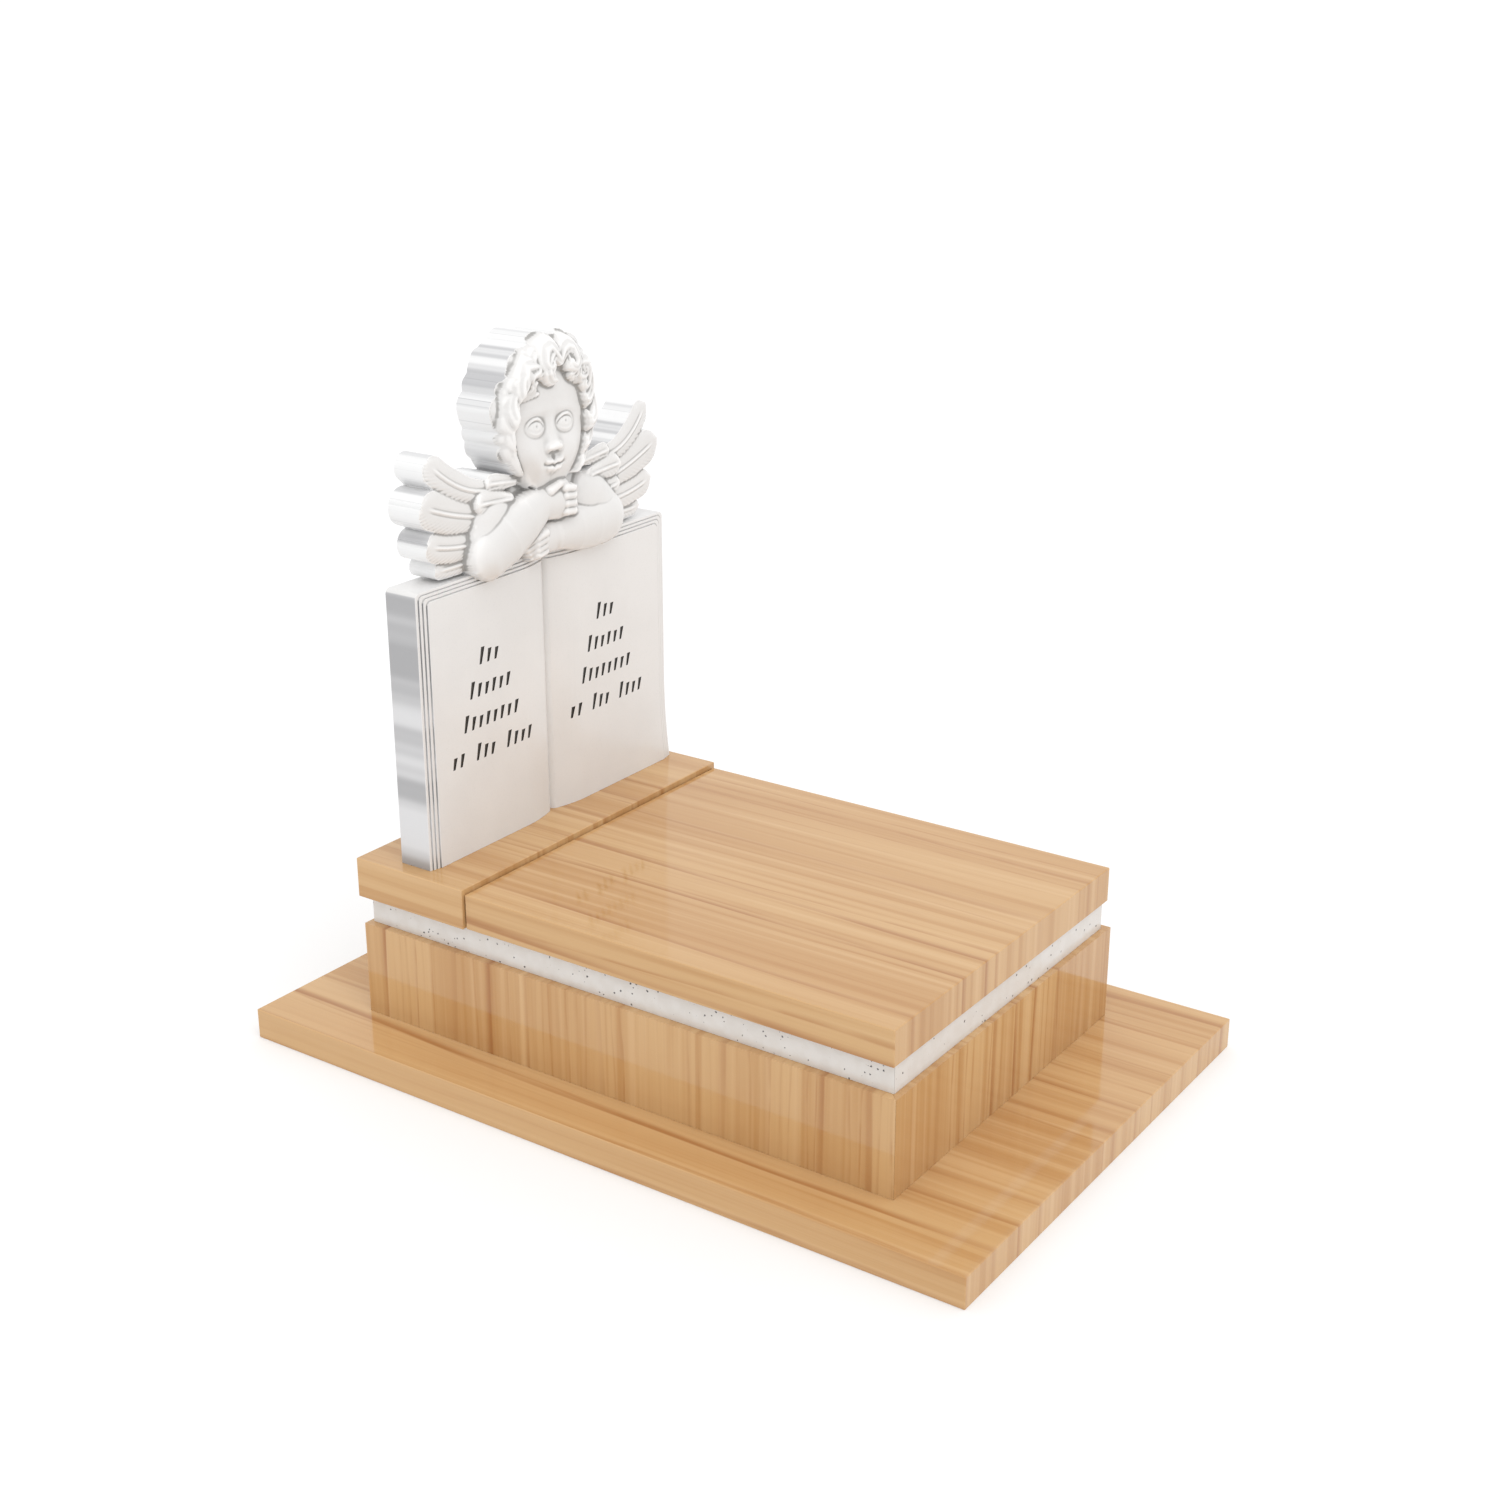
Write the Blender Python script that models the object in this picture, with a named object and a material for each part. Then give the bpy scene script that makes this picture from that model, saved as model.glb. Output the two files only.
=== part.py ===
"""Grave monument with an open book headstone.

A flat base slab carries a hollow tomb body: four upright boards, a low speckled
strip, a cover slab and a headstone base.  On that base stands a white headstone:
an open book with a leaning cherub above it, cut in relief over a flat back.
Metres, +Z up, the headstone at the +Y end, origin under the middle of the slab.
"""
import math

import bmesh
import bpy
import numpy as np

# Base slab
SLAB_WIDTH = 1.056
SLAB_LENGTH = 1.600
SLAB_THICKNESS = 0.062

# Joint between two pieces that touch
JOINT = 0.0003

# Course of upright boards round a hollow, set in from the slab's edges
COURSE_SIDE_MARGIN = 0.125
COURSE_FOOT_MARGIN = 0.209
COURSE_HEAD_MARGIN = 0.189
COURSE_WIDTH = SLAB_WIDTH - 2 * COURSE_SIDE_MARGIN
COURSE_FOOT_Y = COURSE_FOOT_MARGIN - SLAB_LENGTH / 2
COURSE_HEAD_Y = SLAB_LENGTH / 2 - COURSE_HEAD_MARGIN
COURSE_HEIGHT = 0.190
COURSE_THICKNESS = 0.060

# White speckled strip, a little inside the course
STRIP_SIDE_INSET = 0.0165
STRIP_FOOT_INSET = 0.0135
STRIP_HEAD_INSET = 0.009
STRIP_WIDTH = COURSE_WIDTH - 2 * STRIP_SIDE_INSET
STRIP_FOOT_Y = COURSE_FOOT_Y + STRIP_FOOT_INSET
STRIP_HEAD_Y = COURSE_HEAD_Y - STRIP_HEAD_INSET
STRIP_HEIGHT = 0.055
STRIP_THICKNESS = 0.040

# Cover slab and headstone base, side by side on the strip
COVER_SIDE_INSET = 0.004
COVER_FOOT_INSET = 0.008
COVER_GAP = 0.0026
COVER_THICKNESS = 0.070
PLINTH_OVERHANG = 0.002
PLINTH_HEAD_OVERHANG = 0.0096
PLINTH_LENGTH = 0.2686
PLINTH_THICKNESS = 0.0806
PLINTH_WIDTH = COURSE_WIDTH + 2 * PLINTH_OVERHANG
PLINTH_HEAD_Y = COURSE_HEAD_Y + PLINTH_HEAD_OVERHANG
PLINTH_FOOT_Y = PLINTH_HEAD_Y - PLINTH_LENGTH
COVER_WIDTH = COURSE_WIDTH - 2 * COVER_SIDE_INSET
COVER_FOOT_Y = COURSE_FOOT_Y + COVER_FOOT_INSET
COVER_HEAD_Y = PLINTH_FOOT_Y - COVER_GAP
ARRIS = 0.0015

# Open book, its back set in from the base's head edge
BACK_MARGIN = 0.0896
BACK_Y = PLINTH_HEAD_Y - BACK_MARGIN
BOOK_WIDTH = 0.744
BOOK_HEIGHT = 0.545
BOOK_EDGE_DEPTH = 0.073
BOOK_CORNER = 0.011
LEAF_COUNT = 3
LEAF_STEP = 0.002
LEAF_INSET = 0.0085
LEAF_GROOVE_WIDTH = 0.002
LEAF_GROOVE_DEPTH = 0.0025
TOP_INSET_RATIO = 0.78
GUTTER_HALF_WIDTH = 0.085
GUTTER_DIP = 0.016
FOLD_HALF_WIDTH = 0.010
FOLD_DEPTH = 0.009
FLARE = 0.015
FLARE_HEIGHT = 0.190

# Inscription: rows of slanted strokes cut into each page
PAGE_CENTRES = (-0.187, 0.167)
ROW_HEIGHTS = (0.776, 0.714, 0.652, 0.588)
ROW_GROUPS = ((3,), (6,), (8,), (2, 3, 4))
STROKE_PITCH = 0.0205
STROKE_WIDTH = 0.0080
STROKE_HEIGHT = 0.023
FIRST_STROKE_HEIGHT = 0.033
STROKE_SLANT = 0.25
STROKE_DEPTH = 0.0015

# Cherub, laid out in shares of its height above the book
FIGURE_HEIGHT = 0.427
SHARE = FIGURE_HEIGHT / 100
FIGURE_BACK = 0.0
CELL = 1.0
TRIANGLE_SHARE = 0.17
HEAD_CENTRE = (-2.2, 62.6)
HEAD_HALF = (29.5, 34.0)
FACE_HALF = (21.6, 28.0)
HEAD_TILT = math.radians(1)
HEAD_TURN = math.radians(9)
HEAD_NOD = math.radians(4)
FACE_DEPTH = 17.8
FACE_RISE = 9.8
HAIR_SINK = 2.8

# Levels, from the ground up
COURSE_Z = SLAB_THICKNESS + JOINT
STRIP_Z = COURSE_Z + COURSE_HEIGHT + JOINT
COVER_Z = STRIP_Z + STRIP_HEIGHT + JOINT
BOOK_Z = COVER_Z + PLINTH_THICKNESS + JOINT
BOOK_TOP_Z = BOOK_Z + BOOK_HEIGHT


def stone(name, colour, roughness):
    material = bpy.data.materials.new(name)
    material.use_nodes = True
    shader = material.node_tree.nodes["Principled BSDF"]
    shader.inputs["Base Color"].default_value = (*colour, 1.0)
    shader.inputs["Roughness"].default_value = roughness
    return material


def add_object(name, bm, material):
    mesh = bpy.data.meshes.new(name)
    bmesh.ops.recalc_face_normals(bm, faces=bm.faces)
    bm.to_mesh(mesh)
    bm.free()
    mesh.materials.append(material)
    made = bpy.data.objects.new(name, mesh)
    bpy.context.scene.collection.objects.link(made)
    return made


def prism(name, plan, low, high, material, arris=0.0):
    """A block with the given plan, its sharp edges broken by the arris."""
    bm = bmesh.new()
    floor = bm.faces.new([bm.verts.new((x, y, low)) for x, y in plan])
    raised = bmesh.ops.extrude_face_region(bm, geom=[floor])["geom"]
    for vert in raised:
        if isinstance(vert, bmesh.types.BMVert):
            vert.co.z = high
    bmesh.ops.recalc_face_normals(bm, faces=bm.faces)
    if arris:
        bmesh.ops.bevel(bm, geom=list(bm.edges), offset=arris, segments=1, profile=0.5,
                        affect="EDGES", material=-1)
    return add_object(name, bm, material)


def rectangle(width, foot, head):
    half = width / 2
    return [(-half, foot), (half, foot), (half, head), (-half, head)]


def mitred_ring(names, width, foot, head, thickness, low, height, material):
    """Four boards round a hollow, meeting in mitres that leave the joint between them."""
    half = width / 2
    slack = JOINT * math.sqrt(0.5)
    sides = [
        [(-half, foot + slack), (-half, head - slack),
         (-half + thickness, head - thickness - slack), (-half + thickness, foot + thickness + slack)],
        [(half, foot + slack), (half, head - slack),
         (half - thickness, head - thickness - slack), (half - thickness, foot + thickness + slack)],
        [(-half + slack, foot), (half - slack, foot),
         (half - thickness - slack, foot + thickness), (-half + thickness + slack, foot + thickness)],
        [(-half + slack, head), (half - slack, head),
         (half - thickness - slack, head - thickness), (-half + thickness + slack, head - thickness)],
    ]
    for name, plan in zip(names, sides):
        prism(name, plan, low, low + height, material)


# Open book: a thick block whose front steps up through its leaves to two pages

def leaf_profile():
    """Inset and depth, from the back edge over each leaf and its groove to the page."""
    profile = [(0.0, 0.0), (0.0, BOOK_EDGE_DEPTH - ARRIS), (ARRIS, BOOK_EDGE_DEPTH)]
    depth = BOOK_EDGE_DEPTH
    for leaf in range(LEAF_COUNT):
        inset = LEAF_INSET * (leaf + 1) - LEAF_GROOVE_WIDTH
        profile.append((inset, depth))
        profile.append((inset, depth - LEAF_GROOVE_DEPTH))
        profile.append((inset + LEAF_GROOVE_WIDTH, depth - LEAF_GROOVE_DEPTH))
        depth += LEAF_STEP
        profile.append((inset + LEAF_GROOVE_WIDTH, depth))
    return profile


def gutter(x):
    """How far the pages sink towards the fold between them, and into it."""
    out = min(abs(x) / GUTTER_HALF_WIDTH, 1.0)
    fold = max(1 - abs(x) / FOLD_HALF_WIDTH, 0.0)
    return GUTTER_DIP * (1 - out) ** 1.7 + FOLD_DEPTH * fold ** 1.4


def gutter_columns():
    ends = [GUTTER_HALF_WIDTH, 0.6 * GUTTER_HALF_WIDTH, 0.3 * GUTTER_HALF_WIDTH]
    ends += [FOLD_HALF_WIDTH, 0.45 * FOLD_HALF_WIDTH]
    return [-x for x in ends] + [0.0] + [x for x in reversed(ends)]


def book_path(inset):
    """The book's edge from its lower left corner over the top to its lower right one."""
    left, right = inset - BOOK_WIDTH / 2, BOOK_WIDTH / 2 - inset
    top = BOOK_TOP_Z - inset * TOP_INSET_RATIO
    path = [(left, BOOK_Z)]
    arc = [math.pi / 2 * step / 4 for step in range(5)]
    path += [(left + BOOK_CORNER * (1 - math.cos(a)), top - BOOK_CORNER * (1 - math.sin(a))) for a in arc]
    path += [(x, top) for x in gutter_columns()]
    path += [(right - BOOK_CORNER * (1 - math.cos(a)), top - BOOK_CORNER * (1 - math.sin(a)))
             for a in reversed(arc)]
    for step in range(6):
        share = 1 - step / 6
        path.append((right + FLARE * (1 - share) ** 2, BOOK_Z + FLARE_HEIGHT * share))
    path.append((right + FLARE, BOOK_Z))
    return path


def make_book(name, material):
    bm = bmesh.new()
    rings = []
    for inset, depth in leaf_profile():
        ring = []
        for x, z in book_path(inset):
            dip = gutter(x) if depth > 0 else 0.0
            ring.append(bm.verts.new((x, BACK_Y - depth + dip, z)))
        rings.append(ring)
    for outer, inner in zip(rings, rings[1:]):
        for i in range(len(outer) - 1):
            bm.faces.new((outer[i], outer[i + 1], inner[i + 1], inner[i]))
    columns = gutter_columns()
    page = rings[-1]
    depth = leaf_profile()[-1][1]
    first = 6
    feet = [bm.verts.new((x, BACK_Y - depth + gutter(x), BOOK_Z)) for x in columns]
    tops = page[first:first + len(columns)]
    for i in range(len(columns) - 1):
        bm.faces.new((tops[i], tops[i + 1], feet[i + 1], feet[i]))
    bm.faces.new(page[:first + 1] + [feet[0]])
    bm.faces.new([feet[-1]] + page[first + len(columns) - 1:])
    bm.faces.new([ring[0] for ring in rings] + feet + [ring[-1] for ring in reversed(rings)])
    bm.faces.new(rings[0])
    return add_object(name, bm, material)


def stroke_places():
    """Each stroke's middle and height, row by row on both pages."""
    for page_x in PAGE_CENTRES:
        for row_z, groups in zip(ROW_HEIGHTS, ROW_GROUPS):
            steps = sum(groups) - 1 + 1.3 * (len(groups) - 1)
            x = page_x - steps / 2 * STROKE_PITCH
            for group in groups:
                for i in range(group):
                    tall = i == 0 and group > 2
                    height = FIRST_STROKE_HEIGHT if tall else STROKE_HEIGHT * (1 + 0.12 * (i % 2))
                    yield x, row_z - (FIRST_STROKE_HEIGHT - height) / 2, height
                    x += STROKE_PITCH
                x += 1.3 * STROKE_PITCH


def make_strokes(name, material):
    bm = bmesh.new()
    page_y = BACK_Y - leaf_profile()[-1][1]
    for x, z, height in stroke_places():
        lean, half = STROKE_SLANT * height / 2, STROKE_WIDTH / 2
        ring = [(x - lean - half, z - height / 2), (x - lean + half, z - height / 2),
                (x + lean + half, z + height / 2), (x + lean - half, z + height / 2)]
        floor_y = page_y + gutter(x) + STROKE_DEPTH
        face = bm.faces.new([bm.verts.new((px, floor_y, pz)) for px, pz in ring])
        for vert in bmesh.ops.extrude_face_region(bm, geom=[face])["geom"]:
            if isinstance(vert, bmesh.types.BMVert):
                vert.co.y = page_y - 0.01
    made = add_object(name, bm, material)
    made.hide_render = True
    made.display_type = "WIRE"
    return made


# Cherub: depths in front of a flat back, over an outline, in shares

def follow(line, x, z):
    """How far along the line each place lies, and its distance to the left or right of it."""
    lengths = np.hypot(*np.diff(line, axis=0).T)
    nearest = np.full(x.shape, 1e9)
    along = np.zeros(x.shape)
    side = np.zeros(x.shape)
    passed = 0.0
    for (ax, az), (bx, bz), length in zip(line[:-1], line[1:], lengths):
        ux, uz = (bx - ax) / length, (bz - az) / length
        step = np.clip((x - ax) * ux + (z - az) * uz, 0, length)
        ox, oz = x - ax - step * ux, z - az - step * uz
        distance = np.hypot(ox, oz)
        near = distance < nearest
        nearest = np.where(near, distance, nearest)
        along = np.where(near, (passed + step) / lengths.sum(), along)
        side = np.where(near, np.where(ux * oz - uz * ox < 0, -distance, distance), side)
        passed += length
    return along, side


def bend(start, middle, end, count):
    t = np.linspace(0, 1, count)[:, None]
    return (1 - t) ** 2 * np.array(start) + 2 * t * (1 - t) * np.array(middle) + t ** 2 * np.array(end)


def curl(start, heading, length, turn_first, turn_last, count=14):
    """A line that sets off on its heading and turns at a rate that grows along it."""
    share = (np.arange(count) + 0.5) / count
    turned = np.cumsum(np.radians(turn_first + (turn_last - turn_first) * share)) / count
    angle = math.radians(heading) + turned
    steps = length / count * np.stack([np.cos(angle), np.sin(angle)], axis=1)
    return np.vstack([start, np.array(start) + np.cumsum(steps, axis=0)])


def mound(x, z, at, spread, turn=0.0):
    c, s = math.cos(math.radians(turn)), math.sin(math.radians(turn))
    dx, dz = x - at[0], z - at[1]
    return np.exp(-((dx * c + dz * s) / spread[0]) ** 2 - ((dz * c - dx * s) / spread[1]) ** 2)


class Relief:
    def __init__(self, x, z):
        self.x, self.z = x, z
        self.depth = np.zeros(x.shape)
        self.outline = np.full(x.shape, 1e3)

    def near(self, line, reach):
        low, high = line.min(0) - reach, line.max(0) + reach
        return (self.x > low[0]) & (self.x < high[0]) & (self.z > low[1]) & (self.z < high[1])

    def lay(self, where, form, outline):
        deeper = np.maximum(self.depth[where], form)
        self.depth[where] = np.where(outline < 0, deeper, self.depth[where])
        self.outline[where] = np.minimum(self.outline[where], outline)

    def limb(self, line, radii, middles, flatness):
        """A rounded limb: half its width and the depth of its middle, at each point of its line."""
        line = np.array(line, float)
        where = self.near(line, max(radii) + 4)
        along, side = follow(line, self.x[where], self.z[where])
        knots = np.concatenate([[0], np.cumsum(np.hypot(*np.diff(line, axis=0).T))])
        radius = np.interp(along, knots / knots[-1], radii)
        middle = np.interp(along, knots / knots[-1], middles)
        rise = flatness * np.sqrt(np.clip(radius ** 2 - side ** 2, 0, None))
        self.lay(where, middle + rise, np.abs(side) - radius)

    def feather(self, line, width, depth, lean):
        where = self.near(line, width + 3)
        along, side = follow(line, self.x[where], self.z[where])
        length = np.hypot(*np.diff(line, axis=0).T).sum()
        end = np.clip((along - 1) * length / width + 1, 0, 1)
        half = width * np.sqrt(1 - end ** 2) * (0.55 + 0.45 * np.clip(along / 0.6, 0, 1))
        across = np.clip(side / np.maximum(half, 0.05), -1, 1)
        form = depth - lean * along ** 2 + 1.9 * np.sqrt(1 - 0.95 * across ** 2)
        form += 0.5 * np.exp(-(side / 0.9) ** 2) * (along < 0.93)
        self.lay(where, form, np.abs(side) - half)

    def lock(self, line, width, lift, rise):
        """A lock of hair that tapers to the end of its line, laid on the head."""
        where = self.near(line, width + 2)
        x, z = self.x[where], self.z[where]
        along, side = follow(line, x, z)
        half = width * (0.55 + 0.45 * np.clip(along / 0.3, 0, 1))
        half = half * np.sqrt(np.clip(1 - np.clip((along - 0.55) / 0.45, 0, 1) ** 2, 0, 1))
        across = np.clip(side / np.maximum(half, 0.05), -1, 1)
        bed, fullness, hidden = hair_bed(x, z)
        form = lift * np.clip(0.3 + 1.6 * along, 0, 1) + rise * np.sqrt(1 - 0.9 * across ** 2)
        self.lay(where, bed + form * fullness, np.where(hidden, 50, np.abs(side) - half))


def head_frame(x, z):
    """Places on the head's disc, how far it faces forward there, and places on the turned face."""
    dx, dz = x - HEAD_CENTRE[0], z - HEAD_CENTRE[1]
    p = (dx * math.cos(HEAD_TILT) - dz * math.sin(HEAD_TILT)) / HEAD_HALF[0]
    v = (dx * math.sin(HEAD_TILT) + dz * math.cos(HEAD_TILT)) / HEAD_HALF[1]
    p = p * (1 + 0.256 * np.clip(-v - 0.15, 0, 1) ** 1.5)
    front = np.sqrt(np.clip(1.21 - p ** 2 - v ** 2, 0, None)) / 1.1
    across = p * math.cos(HEAD_TURN) + front * math.sin(HEAD_TURN)
    toward = front * math.cos(HEAD_TURN) - p * math.sin(HEAD_TURN)
    up = v * math.cos(HEAD_NOD) - toward * math.sin(HEAD_NOD)
    return p, v, front, across * HEAD_HALF[0], up * HEAD_HALF[1]


def head_depth(front):
    return FACE_DEPTH + FACE_RISE * front ** 0.9


def face_oval(across, up):
    return np.hypot(across / FACE_HALF[0], (up + 8) / FACE_HALF[1])


def hair_bed(x, z):
    """The depth the hair lies on, sunk behind the cheeks, its fullness, and where the face hides it."""
    p, v, front, across, up = head_frame(x, z)
    past = face_oval(across, up) - 1
    low = np.clip((0.60 - v) / 0.35, 0, 1)
    bed = head_depth(front) - HAIR_SINK * low * np.clip(past / 0.09, 0, 1)
    return bed, 1 - low * (1 - np.clip((past - 0.02) / 0.10, 0, 1)), past < 1.2 * (low - 1)


def head_place(fall, out, hand):
    """A place on the head's disc: an angle down from the crown and a share of the way to its rim."""
    dx = hand * out * math.sin(math.radians(fall)) * HEAD_HALF[0]
    dz = out * math.cos(math.radians(fall)) * HEAD_HALF[1]
    return (HEAD_CENTRE[0] + dx * math.cos(HEAD_TILT) + dz * math.sin(HEAD_TILT),
            HEAD_CENTRE[1] - dx * math.sin(HEAD_TILT) + dz * math.cos(HEAD_TILT))


def face_place(fall, out, hand):
    """A place round the face: an angle down from the brow and a multiple of the face's oval."""
    across = hand * out * FACE_HALF[0] / HEAD_HALF[0] * math.sin(math.radians(fall))
    up = (-8 + out * FACE_HALF[1] * math.cos(math.radians(fall))) / HEAD_HALF[1]
    toward = math.sqrt(max(0.0, 1 - across ** 2 - up ** 2))
    p = across * math.cos(HEAD_TURN) - toward * math.sin(HEAD_TURN)
    reach = min(math.hypot(p, up), 0.90)
    return head_place(math.degrees(math.atan2(hand * p, up)), reach, hand)


def face(x, z):
    """Brow, sockets, eyes, cheeks, nose, lips and chin, as depths added to the plain head."""
    m = np.abs(x)
    form = 1.2 * mound(x, z, (0, 9), (16, 9))
    form += 0.7 * mound(m, z, (9.5, 1.4), (7.5, 2.6), -8)
    form -= 1.3 * mound(m, z, (9.6, -4.4), (7.0, 5.2), -4)
    form -= 0.6 * mound(m, z, (4.6, -4.0), (2.2, 3.4))
    form += 2.1 * np.clip(1 - ((m - 9.7) / 6.4) ** 2 - ((z + 5.0) / 4.6) ** 2, 0, None) ** 1.1
    form += 2.9 * mound(m, z, (12.6, -16.0), (8.5, 8.0))
    form += 1.5 * mound(m, z, (9, -24), (7.5, 6.5))
    down = np.clip((1.0 - z) / 14.5, 0, 1)
    bridge = (0.5 + 2.3 * down ** 2.0) * np.exp(-(x / (2.8 + 1.2 * down)) ** 2)
    form += bridge * np.clip((z + 17.0) / 2.2, 0, 1) * np.clip((4.0 - z) / 6, 0, 1)
    form += 2.1 * mound(x, z, (0, -13.6), (3.4, 2.9))
    form += 1.5 * mound(m, z, (3.6, -14.6), (1.9, 1.8))
    form += 1.5 * mound(x, z, (0, -22.0), (8.0, 5.4))
    form += 1.5 * mound(x, z, (0, -21.2), (5.0, 1.3)) + 2.0 * mound(x, z, (0, -24.4), (4.4, 1.5))
    form -= 1.3 * mound(x, z, (0, -22.7), (6.2, 0.6))
    form -= 0.9 * mound(x, z, (0, -27.0), (4.5, 1.3))
    form += 2.1 * mound(x, z, (0, -30.6), (6.8, 3.8))
    return form


def carve_wings(relief):
    """Four long feathers a side, each over the one below it, and short ones over their roots."""
    # three points of the line, half width, depth, and how far the tip leans back
    fan = [((34, 9), (54, 4.5), (71.8, 6), 4.3, 14.6, 1.4),
           ((34, 15), (56, 11.5), (78.2, 18.8), 6.9, 16.0, 0.4),
           ((34, 24), (58, 26), (81.9, 37), 8.6, 17.2, 0.4),
           ((32, 37), (56, 33), (75.6, 54.8), 6.5, 18.4, 3.4)]
    coverts = [((30, 12), (38, 12), (47, 13.5), 4.4, 17.6, 0),
               ((30, 20), (40, 20.5), (51, 22.0), 4.4, 18.8, 0),
               ((28, 30), (38, 31), (50.5, 31.5), 5.4, 20.0, 0),
               ((24, 37), (32, 38), (43, 39), 4.4, 19.0, 0)]
    for hand in (-1, 1):
        for *points, width, depth, lean in fan + coverts:
            line = bend(*[(hand * x, z) for x, z in points], 12)
            relief.feather(line, width, depth, lean)


def carve_head(relief):
    p, v, front, across, up = head_frame(relief.x, relief.z)
    radius = np.hypot(p, v)
    everywhere = np.full(relief.x.shape, True)
    bed = hair_bed(relief.x, relief.z)[0]
    form = bed + 0.9 * face(across, up) * np.clip(front * 3.0, 0, 1)
    relief.lay(everywhere, form.ravel(), ((radius - 1) * HEAD_HALF[0]).ravel())
    oval = face_oval(across, up)
    cap = 1.6 * np.sqrt(np.clip((oval - 1) / 0.10, 0, 1)) * np.clip((v + 0.92) / 0.3, 0, 1)
    outline = np.where((oval > 1) & (v > -0.92), (radius - 1.06) * HEAD_HALF[0], 50)
    relief.lay(everywhere, (bed + cap).ravel(), outline.ravel())


def wave(start, sweep, outs, hand, turn, place=head_place):
    """A lock's line: it falls round the head, swaying in and out, and ends in a small curl."""
    share = np.linspace(0, 1, 9)
    out = np.interp(share, np.linspace(0, 1, len(outs)), outs)
    fall = [place(start + sweep * s, o, hand) for s, o in zip(share, out)]
    heading = math.degrees(math.atan2(fall[-1][1] - fall[-2][1], fall[-1][0] - fall[-2][0]))
    tail = curl(fall[-1], heading, 8.0, -hand * turn * 0.6, -hand * turn * 1.7, 9)
    return np.vstack([fall[:-1], tail])


def carve_hair(relief):
    """Long locks fall from the crown down each side, with shorter ones round the face and over the brow."""
    # angle down from the crown, sweep, half width, lift and closing turn of each lock down the sides
    falls = ((0, 25, 5.6, 1.9, 200), (19, 22, 4.1, 0.4, -160), (31, 30, 6.0, 1.6, 210),
             (55, 24, 4.6, 0.2, -190), (68, 29, 6.1, 2.0, 220), (92, 21, 4.2, 0.5, -160),
             (104, 23, 5.0, 1.4, 200))
    for hand in (-1, 1):
        for i, (fall, sweep, width, lift, turn) in reversed(list(enumerate(falls))):
            sway = 0.03 * math.sin(2.3 * i + hand)
            low = max(0.0, i - 4) * 0.03
            crown = 0.06 * max(0.0, 1 - fall / 50)
            outs = (0.80 - crown, 0.92 + sway - crown, 1.0 - low - crown, 0.94 - low, 0.84)
            relief.lock(wave(fall + 3 * hand, sweep, outs, hand, turn), width, lift, 4.6)
        for i in range(2, -1, -1):
            outs = (1.38, 1.30, 1.17, 1.20 + 0.05 * (i % 2))
            line = wave(14 + 17 * i, 17, outs, hand, -170 if i % 2 else 200, face_place)
            relief.lock(line, 3.6 + 0.4 * math.sin(2.1 * i), 1.8 + 0.8 * math.sin(3.1 * i), 3.8)
        # full curls beside the face, each turning in on itself
        for i in range(4):
            fall = 46 + 24 * i + 5 * hand
            heading = -fall if hand > 0 else 180 + fall
            line = curl(head_place(fall, 0.96, hand), heading, 27, -40 * hand, -380 * hand)
            relief.lock(line, 4.1, 2.6 + 1.3 * (i % 2), 4.6)
    brow_x, brow_z = face_place(0, 1.25, 1)
    # place beside the brow, heading, length, first and last turn, width, lift, rise
    forelocks = [((15, -2), 5, 15, -60, -300, 3.8, 1.4, 3.0), ((12, 3), 15, 17, -50, -120, 4.2, 0.8, 3.0),
                 ((-9, 3), 190, 15, 40, 160, 4.0, 1.0, 3.0), ((6, 2), 350, 19, -30, -330, 4.2, 2.2, 3.2),
                 ((-3, 3), 195, 17, 30, 330, 3.8, 1.9, 3.0), ((7, 2), 165, 26, 60, 345, 4.3, 2.9, 3.4),
                 ((2, 5), 150, 14, 20, 200, 3.8, 1.2, 2.8), ((6, 4), 40, 14, -40, -240, 3.8, 1.2, 2.8)]
    for (dx, dz), heading, length, first, last, width, lift, rise in forelocks:
        line = curl((brow_x + dx, brow_z + dz), heading, length, first, last)
        relief.lock(line, width, lift, rise)


def carve_body(relief):
    relief.limb([(-34, 20), (26, 18)], [15, 14], [14.5, 14.5], 0.35)
    relief.limb([(-34, 8), (34, 8)], [10, 10], [15, 15], 0.20)
    relief.limb([(-2, 24), (-2, 38)], [13, 10], [16, 16], 0.40)


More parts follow.
